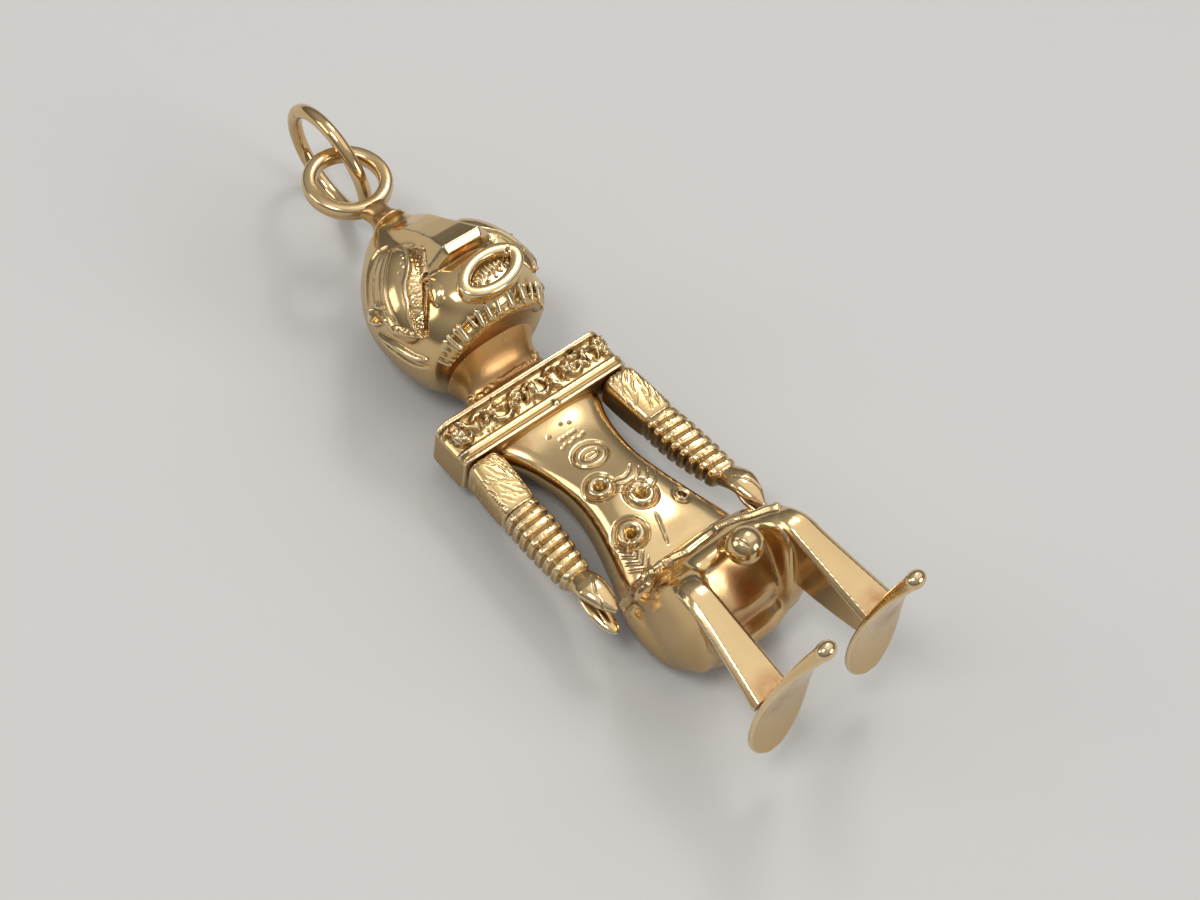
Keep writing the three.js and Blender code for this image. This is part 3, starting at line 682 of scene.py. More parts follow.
# Shoulder bar: two ridges, a frieze of leaves and scrolls, and a smooth hollowed lip
shoulderBar = {
    "half": 5.7, "cast": (0.055, 3),
    # y and z of the section, from its back over the ridge and down the sunk frieze to the lip
    "section": [
        (13.4, 1.1), (13.65, 0.9), (15.95, 0.9), (16.2, 1.15), (16.2, 3.95), (16.12, 4.02), (15.94, 4.0),
        (15.86, 3.75), (14.18, 3.75), (14.04, 4.06), (13.96, 4.02), (13.82, 3.84), (13.64, 3.82),
        (13.52, 3.96), (13.42, 3.9), (13.4, 3.5),
    ],
    "endReach": 0.7, "endMiddle": (14.8, 2.4), "endShrink": (0.1, 0.24), "endPower": 2.5,
    "scrolls": (-4.75, -3.35, -2.1, -0.75, 0.55, 1.75, 2.95, 4.25), "frieze": (14.24, 15.82),
    "nicks": 70, "nickLength": 0.22, "nickArea": ((-5.4, 5.4), (14.29, 15.8)),
    "grain": (0.67, 13.62),
    "fire": [(0, 16.2, 3.0, 1.2), (-4.7, 13.4, 3.6, 1.0), (4.7, 13.4, 3.6, 1.0)],
}


def friezeStrokes():
    middle = sum(shoulderBar["frieze"]) / 2
    curls, leaves = [], []
    for number, x in enumerate(shoulderBar["scrolls"]):
        side = 1 if number % 2 else -1
        size = between(0.44, 0.56)
        first = between(-40, 60)
        curls.append(arcStroke(x, middle + 0.1 * side, size, first, first + 250 * side, 14, 0.85))
        if number % 3 == 0:
            curls.append(arcStroke(x, middle + 0.1 * side, 0.16, 0, 300, 8))
        leafX = x + between(0.55, 0.75) - 0.22
        for step in range(3):
            angle = math.radians(between(15, 70)) * side
            half = np.array([math.cos(angle), math.sin(angle)]) * between(0.32, 0.5)
            start = np.array([leafX + 0.17 * step, middle + between(-0.42, 0.42)])
            leaves.append([start - half, start + (0.03, 0.05), start + half])
    for end in (-5.05, 5.05):
        leaf = [(end - 0.12, middle - 0.6), (end + 0.25, middle - 0.4)]
        leaves += repeated(leaf, (math.copysign(0.1, end), 0.36), 4)
    return curls, leaves


def makeShoulderBar():
    half = shoulderBar["half"]
    bpy.ops.mesh.primitive_circle_add(vertices=len(shoulderBar["section"]), radius=1, fill_type="NGON")
    piece = bpy.context.object
    piece.name = piece.data.name = "shoulder_bar_engraved"
    writePlaces(piece, np.array([(-half, y, z) for y, z in shoulderBar["section"]]))
    startEdit(piece)
    bpy.ops.mesh.extrude_region_move(TRANSFORM_OT_translate={"value": (2 * half, 0, 0)})
    endEdit()
    cast(piece, *shoulderBar["cast"])
    places = readPlaces(piece)
    # The bar's ends are filed round at the corners
    reach = shoulderBar["endReach"]
    endShare = np.clip((np.abs(places[:, 0]) - half + reach) / reach, 0, 1) ** shoulderBar["endPower"]
    inward = (shoulderBar["endMiddle"] - places[:, 1:]) * shoulderBar["endShrink"]
    places[:, 1:] += inward * endShare[:, None]
    writePlaces(piece, places)
    curls, leaves = friezeStrokes()
    carve(piece, leaves, width=0.25, depth=-0.32)
    carve(piece, curls, width=0.23, depth=-0.32)
    nicks = scattered(shoulderBar["nicks"], shoulderBar["nickArea"], lambda start: (
        tick(start, between(0, math.pi), shoulderBar["nickLength"])
    ))
    carve(piece, nicks, width=0.08, depth=0.06)
    # A grain of solder sits on the lip
    carve(piece, [[shoulderBar["grain"]]], width=0.2, depth=-0.2, taper=False)
    settle(piece, "figure", engravedGold, ["shoulder_bar"], shoulderBar["fire"])


# Arms, modelled on the figure's left and mirrored with other marks
arm = {
    "blockLevels": [
        (9.75, 3.9, 6.03, 1.88, 3.74), (10.7, 3.8, 6.0, 1.76, 3.84), (12.2, 3.7, 5.88, 1.7, 3.95),
        (13.45, 3.74, 5.76, 1.65, 4.0),
    ],
    "forearmLevels": [
        (4.9, 4.47, 6.1, 2.35, 3.88), (6.2, 4.2, 6.15, 2.15, 3.87), (7.6, 3.95, 6.15, 2.0, 3.85),
        (9.0, 3.86, 6.1, 1.9, 3.82), (10.05, 3.92, 6.0, 1.85, 3.72),
    ],
    "cast": (0.055, 4), "handCast": (0.05, 5),
    "hatchMarks": 40, "hatchArea": ((3.8, 5.8), (10.1, 13.2)),
    # A stroke on the block's side, its shift at each repeat and how often it is cut
    "sideHatch": ([(10.1, 2.0), (10.25, 3.7)], (0.17, 0), 19),
    "bottom": 5.0, "top": 10.0, "bangles": 8, "bangleX": (3.2, 6.8),
    "nicks": 60, "nickArea": ((3.9, 6.0), (4.9, 9.8)),
    "foldCentre": (5.55, 2.95, 2.85), "foldRadii": (0.55, 1.5, 0.26),
    "palmLine": [(5.0, 4.4), (5.6, 3.4), (5.8, 2.2)],
    "fire": [(4.8, 13.4, 3.2, 0.8), (4.6, 2.2, 3.6, 1.1)],
}


def makeUpperArm():
    block = ringStack("block", arm["blockLevels"], squareness=4, count=6)
    cast(block, *arm["cast"])
    hatch = scattered(arm["hatchMarks"], arm["hatchArea"], lambda start: (
        tick(start, between(0.5, 1.5), between(0.4, 1.0))
    ))
    carve(block, hatch, width=0.075, depth=0.04)
    carve(block, repeated(*arm["sideHatch"]), width=0.06, depth=0.05, across=(0, 1, 0), up=(0, 0, 1))
    return block


def makeForearm():
    forearm = ringStack("forearm", arm["forearmLevels"], squareness=3.2, count=12)
    cast(forearm, *arm["cast"])
    pitch = (arm["top"] - arm["bottom"]) / arm["bangles"]
    inner, outer = arm["bangleX"]
    ribs, gaps = [], []
    for number in range(arm["bangles"]):
        tilt = between(-0.1, 0.1)
        middle = arm["bottom"] + pitch * (number + 0.45)
        ribs.append([(inner, middle + 0.12 + tilt), (outer, middle - 0.12 - tilt)])
        gap = middle + pitch / 2
        gaps.append([(inner, gap + 0.14 + tilt / 2), (outer, gap - 0.1 - tilt / 2)])
    carve(forearm, ribs, width=0.45, depth=-0.03, facing=None, taper=False)
    carve(forearm, gaps, width=0.15, depth=0.2, facing=None, taper=False)
    nicks = scattered(arm["nicks"], arm["nickArea"], lambda start: [
        start, start + (between(-0.05, 0.05), 0.2),
    ])
    carve(forearm, nicks, width=0.05, depth=0.035)
    return forearm


def makeArm(sideName, sideSign):
    block = makeUpperArm()
    forearm = makeForearm()
    fold = ball("fold", arm["foldCentre"], arm["foldRadii"])
    hand = joined("hand", [copyOfNode("hand_left", "palm"), fold])
    cast(hand, *arm["handCast"])
    carve(hand, [arm["palmLine"]], width=0.1, depth=0.06)
    for source, part in ((block, "upper_arm"), (forearm, "forearm"), (hand, "hand")):
        finish = polishedGold if source == hand else engravedGold
        placeSide(source, part, sideName, sideSign, finish, arm["fire"])


# Legs: bent strips with a flat front, filed edges and a calf drawn in towards the middle
leg = {
    "inner": 2.62, "edge": 0.34, "edgeShare": 0.7, "bevel": 0.25, "crown": 0.05,
    "sideDraw": 0.1, "sideDepth": 2.6, "backDraw": 0.12, "rows": 44,
    "path": [
        # y, z of the front, outer x, back y, back z, back outer x
        (0.8, 3.0, 3.7, -2.3, 3.0, 3.5), (0.8, 5.0, 3.8, -2.4, 4.0, 3.55), (0.75, 6.2, 3.9, -2.5, 4.45, 3.6),
        (0.55, 7.05, 4.0, -2.6, 4.6, 3.6), (0.1, 7.66, 4.1, -2.7, 4.62, 3.6),
        (-0.5, 7.98, 4.18, -2.8, 4.65, 3.55), (-1.15, 8.06, 4.25, -3.0, 4.7, 3.5),
        (-1.8, 7.97, 4.3, -3.3, 4.75, 3.4), (-2.8, 7.8, 4.44, -3.9, 4.85, 3.3),
        (-4.2, 7.57, 4.66, -5.0, 5.1, 3.2), (-5.6, 7.35, 4.88, -6.1, 5.4, 3.2),
        (-6.5, 7.2, 5.03, -6.7, 5.58, 3.2), (-7.2, 7.1, 5.1, -7.3, 5.65, 3.2),
    ],
    "ankle": -6.8, "cast": (0.06, 5),
    "toeCut": 12.2, "toeTip": 0.5, "toeSwell": (1.1, 1.15), "footCast": (0.05, 7),
    "fire": [(3.8, -6.8, 7.2, 1.5), (3.4, -6.6, 5.6, 1.0)],
}


def legMesh():
    rows = smoothLevels(leg["path"], leg["rows"])
    points, faces = [], []
    inner, edge = leg["inner"], leg["edge"]
    for y, z, outer, backY, backZ, backOuter in rows:
        inward = Vector((0, backY - y, backZ - z)).normalized()
        bevel = inward * leg["bevel"]
        crown = inward * -leg["crown"]
        deep = bevel * leg["sideDepth"]
        points += [
            (inner, y + bevel.y, z + bevel.z),
            (inner + edge * leg["edgeShare"], y, z),
            ((inner + outer) / 2, y + crown.y, z + crown.z),
            (outer - edge, y, z),
            (outer, y + bevel.y, z + bevel.z),
            (outer - leg["sideDraw"], y + deep.y, z + deep.z),
            (backOuter, backY, backZ),
            (inner + leg["backDraw"], backY, backZ),
        ]
    across = len(points) // len(rows)
    for row in range(len(rows) - 1):
        for side in range(across):
            a = row * across + side
            b = row * across + (side + 1) % across
            faces.append((a, b, b + across, a + across))
    faces.append(tuple(range(across))[::-1])
    faces.append(tuple(range(len(points) - across, len(points))))
    mesh = bpy.data.meshes.new("leg")
    mesh.from_pydata(points, [], faces)
    piece = bpy.data.objects.new("leg", mesh)
    scene.collection.objects.link(piece)
    startEdit(piece)
    endEdit()
    return piece


def makeFoot():
    foot = copyOfNode("foot_left", "foot")
    cutFlat(foot, (0, 0, leg["toeCut"]), (0, 0, 1), clear_outer=True)
    places = readPlaces(foot)
    end = places[places[:, 2] > leg["toeCut"] - 0.01]
    x, y, _ = (end.max(0) + end.min(0)) / 2
    halfX, halfY, _ = (end.max(0) - end.min(0)) / 2
    swellX, swellY = leg["toeSwell"]
    tip = ball("toeTip", (x, y, leg["toeCut"]), (halfX * swellX, halfY * swellY, leg["toeTip"]))
    foot = joined("foot", [foot, tip])
    cast(foot, *leg["footCast"])
    return foot


def makeLegs():
    shin = legMesh()
    # The sole's plane cuts the shin
    cutFlat(shin, (0, leg["ankle"], 0), (0, 1, 0), clear_inner=True)
    cast(shin, *leg["cast"])
    # The sole follows the solid, and its toe ends in a rounded tip
    foot = makeFoot()
    for sideName, sideSign in sides:
        for source, part in ((shin, "leg"), (foot, "foot")):
            placeSide(copied(source, part), part, sideName, sideSign, polishedGold, leg["fire"])
    bpy.data.objects.remove(shin)
    bpy.data.objects.remove(foot)


# Bead on its peg
bead = {
    "centre": (0, -0.5, 8.5), "radii": (1.0, 0.97, 0.98), "root": (0, 0.7, 6.9), "peg": 0.5, "pegReach": 0.2,
    "cast": (0.05, 4), "scratch": [(-0.55, -0.2), (-0.35, -0.95)], "fire": [(0, 0.5, 7.4, 0.8)],
}


def makeBead():
    piece = joined("bead_on_peg", [
        ball("beadBall", bead["centre"], bead["radii"]),
        bar("beadPeg", bead["root"], bead["centre"], bead["peg"], reach=bead["pegReach"]),
    ])
    cast(piece, *bead["cast"])
    carve(piece, [bead["scratch"]], width=0.09, depth=0.05, facing=None)
    settle(piece, "figure", polishedGold, ["front_bead"], bead["fire"])


# Neck, hollowed in front, with grains of solder along its base
neck = {
    "levels": [
        (16.1, 3.3, 3.8, 1.0), (16.45, 3.0, 3.62, 1.05), (16.9, 2.66, 3.62, 1.1),
        (17.4, 2.55, 4.0, 1.05), (17.9, 2.66, 4.75, 0.95), (18.3, 2.95, 5.5, 0.9),
        (18.6, 3.1, 5.9, 0.9),
    ],
    "cast": (0.07, 8),
    "grains": 46, "grainsX": (-2.6, 2.6), "seam": 16.75, "seamSlope": 0.02, "seamSpread": 0.04,
    "largeGrains": [[(-2.5, 17.0)], [(2.3, 17.15)], [(2.1, 17.0)]], "fire": [(0, 16.4, 3.4, 2.4)],
}


def makeNeck():
    piece = ringStack("neck_soldered", neck["levels"], squareness=2.4, count=10)
    cast(piece, *neck["cast"])
    grains = []
    for _ in range(neck["grains"]):
        x = between(*neck["grainsX"])
        y = neck["seam"] + neck["seamSpread"] * jitter() + neck["seamSlope"] * x
        grains.append([(x, y)])
    carve(piece, grains, width=0.11, depth=-0.09, taper=False)
    carve(piece, neck["largeGrains"], width=0.2, depth=-0.16, taper=False)
    settle(piece, "figure", solderedGold, ["neck"], neck["fire"])


# Head: skull, nose strip, bulging eyes, ears and the jaw's edge
head = {
    "levels": [
        (18.2, 3.78, 8.5, 1.1), (19.32, 4.28, 8.85, 0.37), (20.7, 4.5, 8.85, 0.0),
        (22.4, 4.5, 8.45, -0.05), (24.0, 4.22, 7.9, 0.2), (25.6, 3.42, 7.2, 1.0),
        (26.8, 2.3, 6.7, 2.2), (27.3, 1.6, 6.5, 3.4), (27.5, 1.05, 6.75, 4.65),
    ],
    "muzzleCentre": (0, 20.3, 7.9), "muzzleRadii": (2.7, 2.5, 1.3),
    # y, z and half width along the strip from the crown to its tip
    "nose": [(27.0, 5.7, 0.8), (26.4, 6.95, 0.95), (25.4, 7.9, 0.92), (24.4, 8.6, 0.9), (23.0, 9.48, 1.02),
             (21.75, 10.15, 1.22)],
    "noseFacet": (21.4, 9.75, 1.14), "noseFoot": (21.3, 8.6, 1.0), "noseShift": 0.12,
    "noseDepth": (0, 0.15, -1.7), "noseSide": 1.95, "noseMiddle": (0, 24, 6),
    "eyeCentre": (3.0, 22.25, 6.95), "eyeRadii": (1.62, 2.75, 1.4), "leftEyeShift": (-0.2, -0.15, -0.3),
    "eyeAlong": (-0.4, 0.88, 0.2), "eyeOutward": (0.6, 0.1, 0.79),
    "skullCast": (0.14, 26), "cast": (0.068, 8),
    "fire": [(0, 21.4, 8.9, 1.3), (0, 18.2, 4.0, 2.5)],
}
# Marks on the figure's right cheek, drawn from the quarter view and mirrored to its left
cheekMarks = {
    "lidRidge": [(-1.75, 23.9, 8.1), (-1.99, 23.49, 8.33), (-2.48, 22.75, 8.45), (-2.89, 22.34, 8.41),
                 (-3.3, 22.0, 8.28), (-3.58, 21.53, 8.1), (-3.73, 21.14, 7.95), (-4.05, 20.62, 7.57),
                 (-4.11, 20.12, 7.16), (-3.96, 19.62, 6.89)],
    "lidLine": [(-1.2, 23.3, 8.6), (-1.25, 22.99, 8.69), (-1.48, 22.58, 8.31), (-1.97, 21.96, 8.32),
                (-2.44, 21.36, 8.31), (-2.85, 20.83, 8.19), (-3.2, 20.33, 8.01), (-3.53, 19.93, 7.7),
                (-3.85, 19.49, 7.13)],
    "browCurl": [(-2.34, 24.95, 7.15), (-1.92, 24.81, 7.47), (-1.41, 24.49, 7.81), (-1.2, 23.9, 8.24)],
    "eyeOutline": [(-4.3, 23.9, 5.5), (-3.81, 24.45, 5.59), (-3.25, 25.11, 6.08), (-2.7, 25.54, 6.44),
                   (-2.25, 25.64, 6.79), (-1.9, 25.41, 7.16)],
    "lowerRim": [(-4.6, 22.2, 6.4), (-4.72, 20.94, 6.56), (-4.34, 20.1, 6.86), (-3.96, 19.62, 6.89)],
    "cheekFacet": [(-2.25, 21.5, 8.5), (-2.5, 20.7, 8.6), (-2.75, 20.1, 8.4)],
    "earOuter": [(-4.4, 23.3, 5.8), (-4.77, 22.95, 5.43), (-4.69, 22.51, 5.58), (-4.51, 22.25, 5.75)],
    "earInner": [(-4.37, 23.15, 6.05), (-4.42, 22.95, 6.45), (-4.47, 22.56, 6.8), (-4.5, 22.2, 6.95)],
    "earHollow": [(-4.55, 22.75, 6.0), (-4.55, 22.5, 6.2)],
    "bulgeInner": [(-1.9, 24.3, 7.9), (-2.9, 23.3, 8.1), (-3.9, 22.0, 7.7), (-4.3, 20.9, 7.2)],
    "bulgeOuter": [(-2.3, 25.3, 6.9), (-3.6, 24.3, 6.3), (-4.4, 23.0, 6.0), (-4.7, 21.6, 6.2)],
    "jaw": [(-4.47, 22.44, 4.49), (-4.5, 21.82, 4.67), (-4.49, 21.25, 4.91), (-4.34, 19.7, 5.3),
            (-4.05, 18.8, 5.7)],
}
# Marks that are cut together, their width and depth, how far the surface may turn away, and their taper
cheekCuts = [
    (["cheekFacet"], 0.6, -0.14, 0.1, True),
    (["lidLine"], 0.17, 0.26, 0.0, True),
    (["lidRidge"], 0.17, -0.2, 0.0, True),
    (["browCurl"], 0.18, -0.06, 0.0, True),
    (["earHollow"], 0.3, 0.16, -0.2, False),
    (["earOuter", "earInner"], 0.2, -0.3, -0.2, True),
    (["eyeOutline"], 0.24, 0.12, 0.0, True),
    (["lowerRim"], 0.26, -0.14, 0.0, True),
]
stipple = {
    "count": 30, "rows": (0.3, 0.52, 0.74), "browRow": 8, "browReach": (0.2, 0.6), "spread": 0.05,
    "rightDepth": 0.06, "leftDepth": 0.015,  # the left cheek is worn smoother
}
fineLines = {"points": 12, "shares": (0.35, 0.5, 0.62, 0.74, 0.86, 0.97), "spread": 0.04}


def eyeTurn(sideSign):
    along = (Vector(head["eyeAlong"]) * Vector((sideSign, 1, 1))).normalized()
    outward = Vector(head["eyeOutward"]) * Vector((sideSign, 1, 1))
    outward = (outward - along * outward.dot(along)).normalized()
    return Matrix((along.cross(outward), along, outward)).transposed()


# The plane that a cheek's marks are drawn on, and the marks in it
def cheekView(sideSign):
    right, up = np.array(photoCamera["right"]), np.array(photoCamera["up"])
    if sideSign > 0:
        right, up = right * (1, -1, -1), up * (-1, 1, 1)
    return {"across": right, "up": up}


def cheekStroke(points, sideSign):
    view = cheekView(sideSign)
    places = np.array(points, float) * (-sideSign, 1, 1)
    return np.stack([places @ view["across"], places @ view["up"]], 1)


def noseRidge():
    stations = [*head["nose"], head["noseFacet"], head["noseFoot"]]
    bpy.ops.mesh.primitive_grid_add(x_subdivisions=2, y_subdivisions=len(stations) - 1, size=1)
    piece = bpy.context.object
    places = readPlaces(piece)
    order = np.argsort(-places[:, 1], kind="stable").reshape(len(stations), -1)
    for row, (y, z, half) in zip(order, stations):
        for point in row:
            places[point] = (np.sign(places[point, 0]) * half, y, z)
    writePlaces(piece, places)
    startEdit(piece)
    bpy.ops.mesh.extrude_region_move(TRANSFORM_OT_translate={"value": head["noseDepth"]})
    bpy.ops.transform.resize(value=(head["noseSide"], 1, 1), center_override=head["noseMiddle"])
    bpy.ops.mesh.select_all(action="SELECT")
    bpy.ops.transform.translate(value=(head["noseShift"], 0, 0))
    endEdit()
    return piece


def stippleStrokes(ridge, line):
    dots = []
    for start, end in zip(ridge, line):
        for share in stipple["rows"]:
            spot = start + (end - start) * (share + 0.06 * jitter())
            dots.append([spot + stipple["spread"] * jitter(2)])
    for start, end in zip(line[:stipple["browRow"]], ridge[:stipple["browRow"]]):
        dots.append([end + (end - start) * between(*stipple["browReach"])])
    return dots


def makeCheek(piece, sideSign):
    view = cheekView(sideSign)
    strokes = {name: cheekStroke(points, sideSign) for name, points in cheekMarks.items()}
    for names, width, depth, facing, taper in cheekCuts:
        carve(piece, [strokes[name] for name in names], width, depth, facing=facing, taper=taper, **view)
    # The crescent between the ridge and the line is stippled
    ridge, line = (smoothLevels(strokes[name], stipple["count"]) for name in ("lidRidge", "lidLine"))
    depth = stipple["rightDepth"] if sideSign < 0 else stipple["leftDepth"]
    carve(piece, stippleStrokes(ridge, line), width=0.085, depth=depth, taper=False, facing=0.0, **view)
    # Fine long lines follow the outer side of the bulge
    inner, outer = (smoothLevels(strokes[name], fineLines["points"]) for name in ("bulgeInner", "bulgeOuter"))
    lines = []
    for share in fineLines["shares"]:
        lines.append(inner + (outer - inner) * (share + fineLines["spread"] * jitter()))
    carve(piece, lines, width=0.075, depth=0.05, facing=0.0, **view)
    specks = []
    for start, end in zip(strokes["lowerRim"][:-1], strokes["lowerRim"][1:]):
        for share in np.linspace(0, 1, 6):
            specks.append([start + (end - start) * share + 0.06 * jitter(2)])
    carve(piece, specks, width=0.09, depth=0.09, taper=False, facing=0.0, **view)
    # The jaw's turned edge, from the ear down to the beard, with a hollow behind it
    jaw = np.array(cheekMarks["jaw"]) * (-sideSign, 1, 1)
    carve(piece, [jaw], width=0.32, depth=-0.3)
    carve(piece, [jaw + (sideSign * 0.05, -0.15, -0.5)], width=0.35, depth=0.2)


def makeHead():
    skull = ringStack("skull", head["levels"], squareness=2.12, count=18, sides=28)
    skull = joined("skull", [skull, ball("muzzle", head["muzzleCentre"], head["muzzleRadii"])])
    cast(skull, *head["skullCast"])
    parts = [skull, noseRidge()]
    for sideSign in (1, -1):
        centre = Vector(head["eyeCentre"]) * Vector((sideSign, 1, 1))
        if sideSign > 0:
            centre += Vector(head["leftEyeShift"])
        parts.append(ball("eye", centre, head["eyeRadii"], eyeTurn(sideSign)))
    piece = joined("idol_head", parts)
    cast(piece, *head["cast"])
    cutFlat(piece, (0, 0, 0), (0, 0, 1), clear_inner=True)
    for sideSign in (1, -1):
        makeCheek(piece, sideSign)
    settle(piece, "figure", polishedGold, ["head"], head["fire"])


# A torus read as a band: the way to each point, and how far out and how high it lies, from -1 to 1
def readBand(piece, radius, half):
    places = readPlaces(piece)
    distance = np.hypot(places[:, 0], places[:, 1])
    return (places[:, :2] / distance[:, None]).T, (distance - radius) / half, places[:, 2] / half


# Mouth: a smooth flat oval band, a little askew, round a rough almond hollow
mouth = {
    "centre": (0.25, 19.42, 9.36), "tilt": 10, "outer": (2.22, 1.34), "inner": (1.5, 0.68),
    "band": 0.25, "relief": 0.85, "cornering": 1.5, "softness": 0.8, "flatness": 0.35,
    "floorDrop": 0.24, "floorRadii": (1.7, 0.95, 0.16), "cast": (0.045, 3),
    "teeth": 8, "firstTooth": -0.95, "toothPitch": 0.27, "longestTooth": 0.1,
    "pits": 22, "pitArea": ((-1.2, 1.2), (-0.5, 0.05)), "pitLength": (0.08, 0.12),
    "notch": [(1.2, 0.05), (1.75, 0.3)],
}


def makeMouth():
    band = mouth["band"]
    bpy.ops.mesh.primitive_torus_add(
        major_radius=1, minor_radius=band, major_segments=140, minor_segments=28,
    )
    piece = bpy.context.object
    (cosine, sine), out, rise = readBand(piece, 1, band)
    wide = (signedPower(out, mouth["softness"]) + 1) / 2
    innerX = mouth["inner"][0] * cosine
    innerY = mouth["inner"][1] * signedPower(sine, mouth["cornering"])
    x = innerX + (mouth["outer"][0] * cosine - innerX) * wide
    y = innerY + (mouth["outer"][1] * sine - innerY) * wide
    z = signedPower(rise, mouth["flatness"]) * mouth["relief"] / 2
    tilt = Matrix.Rotation(math.radians(mouth["tilt"]), 3, "Z")
    writePlaces(piece, np.stack([x, y, z], 1) @ np.array(tilt).T + mouth["centre"])
    floorCentre = Vector(mouth["centre"]) - Vector((0, 0, mouth["floorDrop"]))
    piece = joined("mouth_band", [piece, ball("mouthFloor", floorCentre, mouth["floorRadii"], tilt)])
    cast(piece, *mouth["cast"])
    view = {
        "across": tilt @ Vector((1, 0, 0)), "up": tilt @ Vector((0, 1, 0)), "centre": mouth["centre"],
    }
    teeth = []
    for number in range(mouth["teeth"]):
        x = mouth["firstTooth"] + mouth["toothPitch"] * number
        teeth.append([(x - 0.04, 0.02), (x, 0.5 - 0.25 * abs(x - mouth["longestTooth"]))])
    carve(piece, teeth, width=0.11, depth=-0.13, taper=False, **view)
    pits = scattered(mouth["pits"], mouth["pitArea"], lambda start: [start, start + mouth["pitLength"]])
    carve(piece, pits, width=0.11, depth=0.11, **view)
    carve(piece, [mouth["notch"]], width=0.09, depth=0.25, **view)
    settle(piece, "figure", polishedGold, ["mouth_ring"])


# Beard: a fringe of raised bars from ear to ear under the jaw, chunky in the middle, on a sunk band
beard = {
    "bars": 25, "sweep": 76, "middleZ": 4.9, "radiusX": 4.0, "radiusZ": 3.85, "top": 18.5, "bottom": 17.72,
    "rise": 0.6, "reach": (0.85, 0.5), "narrowing": 0.55, "thick": (0.11, 0.15), "middleThick": 0.03,
    "wobble": 0.05, "bandBalls": 41, "bandY": 18.12, "bandSunk": (0.82, 1.08), "bandRadii": (0.46, 0.46, 0.5),
    "cast": (0.055, 2),
}


def aroundJaw(radiusX, radiusZ, y, angle, turn=0.0):
    return Vector((radiusX * math.sin(angle + turn), y, beard["middleZ"] + radiusZ * math.cos(angle)))


def makeBeard():
    parts = []
    sweep = math.radians(beard["sweep"])
    radiusX, radiusZ = beard["radiusX"], beard["radiusZ"]
    for share in np.linspace(-1, 1, beard["bars"]):
        angle = share * sweep
        rise = beard["rise"] * abs(share) ** 3
        reach = beard["reach"][0] + beard["reach"][1] * share**2
        wobble = between(-beard["wobble"], beard["wobble"])
        upper = aroundJaw(radiusX, radiusZ, beard["top"] + rise, angle, wobble)
        lowX, lowY = radiusX - beard["narrowing"] * reach, beard["bottom"] + rise * 0.4
        lower = aroundJaw(lowX, radiusZ - reach, lowY, angle, wobble * 2)
        thick = between(*beard["thick"]) + beard["middleThick"] * (1 - abs(share))
        parts.append(bar("whisker", upper, lower, thick, squash=1.2, sides=12))
    sunkX, sunkZ = beard["bandSunk"]
    for share in np.linspace(-1, 1, beard["bandBalls"]):
        y = beard["bandY"] + beard["rise"] * abs(share) ** 3 * 0.7
        centre = aroundJaw(radiusX - sunkX, radiusZ - sunkZ, y, share * sweep)
        parts.append(ball("beardBase", centre, beard["bandRadii"], segments=12, rings=8))
    piece = joined("beard_fringe", parts)
    cast(piece, *beard["cast"])
    settle(piece, "figure", engravedGold, ["beard_band"])


# Stem and eyelet
stem = {
    "levels": [
        (27.3, -1.25, 1.25, 4.45, 6.95), (27.6, -1.0, 1.0, 4.7, 6.7), (28.0, -0.78, 0.78, 4.92, 6.48),
        (28.4, -0.72, 0.72, 4.98, 6.42), (28.75, -0.85, 0.85, 5.05, 6.35), (29.1, -1.15, 1.15, 5.3, 6.1),
    ],
    "cast": (0.05, 5), "fire": [(0, 28.8, 5.7, 0.8)],
}
eyelet = {
    "centre": (0, 31.26, 5.7), "outer": 2.56, "inner": 1.72, "thick": 0.92, "squared": 0.68,
    "rimDrop": 0.2, "fire": [(0, 28.8, 5.7, 1.1)],
}


def makeStem():
    piece = ringStack("crown_stem_flared", stem["levels"], squareness=2, count=10)
    cast(piece, *stem["cast"])
    settle(piece, "figure", solderedGold, ["crown_stem"], stem["fire"])


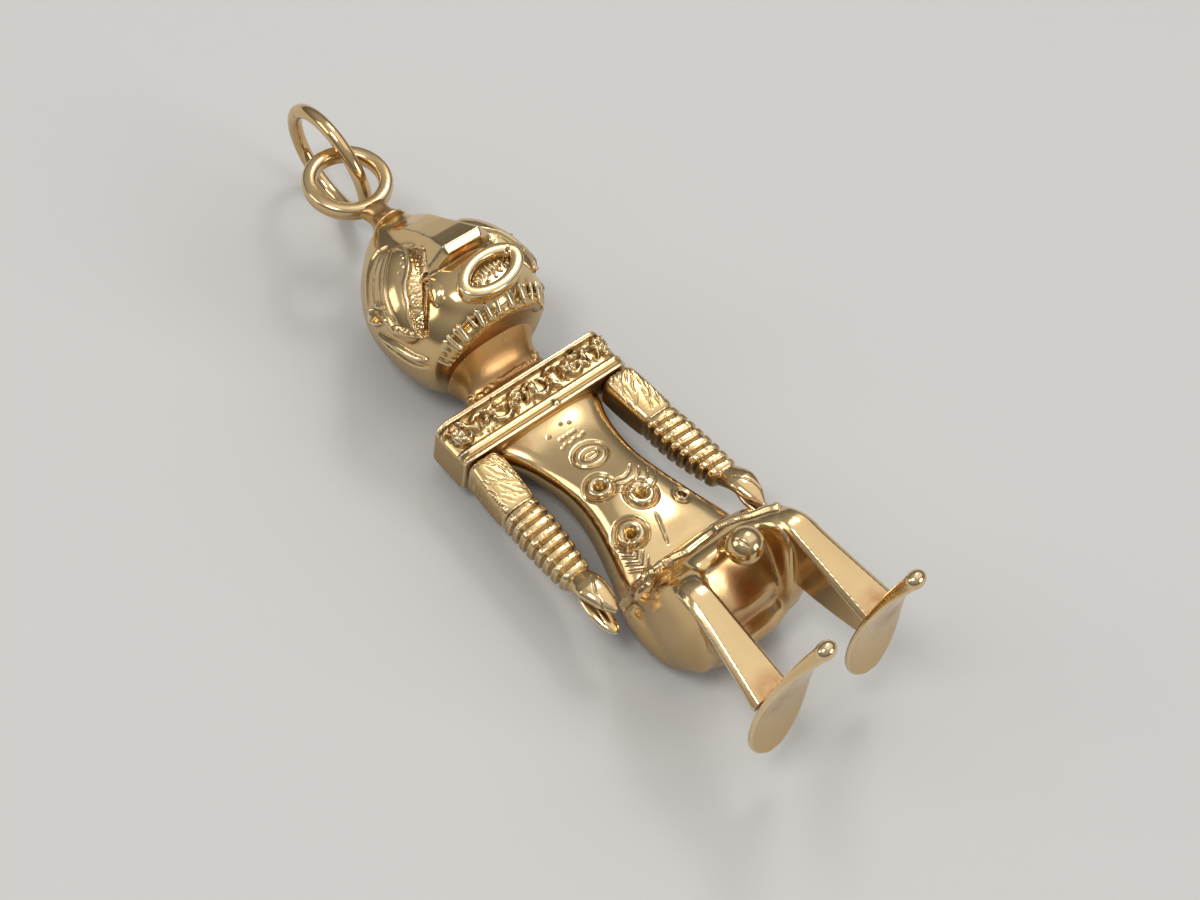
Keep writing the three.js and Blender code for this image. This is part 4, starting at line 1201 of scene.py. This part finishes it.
def makeEyelet():
    middle = (eyelet["outer"] + eyelet["inner"]) / 2
    halfBand = (eyelet["outer"] - eyelet["inner"]) / 2
    bpy.ops.mesh.primitive_torus_add(
        major_radius=middle, minor_radius=halfBand, major_segments=200, minor_segments=40,
    )
    piece = bpy.context.object
    piece.name = piece.data.name = "eyelet_finished"
    (cosine, sine), out, rise = readBand(piece, middle, halfBand)
    radius = middle + signedPower(out, eyelet["squared"]) * halfBand
    height = signedPower(rise, eyelet["squared"]) * eyelet["thick"] / 2
    writePlaces(piece, np.stack([cosine * radius, sine * radius, height], 1) + eyelet["centre"])
    x, y, z = eyelet["centre"]
    rim = [(*point, z - eyelet["rimDrop"]) for point in arcStroke(x, y, eyelet["outer"], points=90)]
    carve(piece, [rim], width=0.1, depth=0.06, taper=False)
    settle(piece, "figure", polishedGold, ["eyelet"], eyelet["fire"])


# Jump ring of drawn wire, with its sawn joint at the back
jumpRing = {
    "centre": (1.177, 34.446, 3.807), "radius": 3.36, "wire": 0.42, "turn": 8, "jointTurn": 0.45,
}


def makeJumpRing():
    turn = math.pi / 2 - math.radians(jumpRing["turn"])
    bpy.ops.mesh.primitive_torus_add(
        major_radius=jumpRing["radius"], minor_radius=jumpRing["wire"], major_segments=260, minor_segments=28,
        location=jumpRing["centre"], rotation=(0, turn, 0),
    )
    piece = bpy.context.object
    piece.name = piece.data.name = "jump_ring_wire"
    applyPlace(piece)
    axis = Vector((math.sin(turn), 0, math.cos(turn)))
    upward = Vector((0, 1, 0))
    spoke = upward.lerp(axis.cross(upward), jumpRing["jointTurn"]).normalized()
    middle = Vector(jumpRing["centre"]) + spoke * jumpRing["radius"]
    cut = []
    for angle in np.linspace(0, 2 * math.pi, 25):
        cut.append(middle + (spoke * math.cos(angle) + axis * math.sin(angle)) * jumpRing["wire"])
    carve(piece, [cut], width=0.05, depth=0.05, taper=False)
    settle(piece, "ring", wireGold, ["jump_ring"])


makeSeat()
makeTorso()
makeShoulderBar()
for sideName, sideSign in sides:
    makeArm(sideName, sideSign)
makeLegs()
makeBead()
makeNeck()
makeHead()
makeMouth()
makeBeard()
makeStem()
makeEyelet()
makeJumpRing()
print("all pieces made")
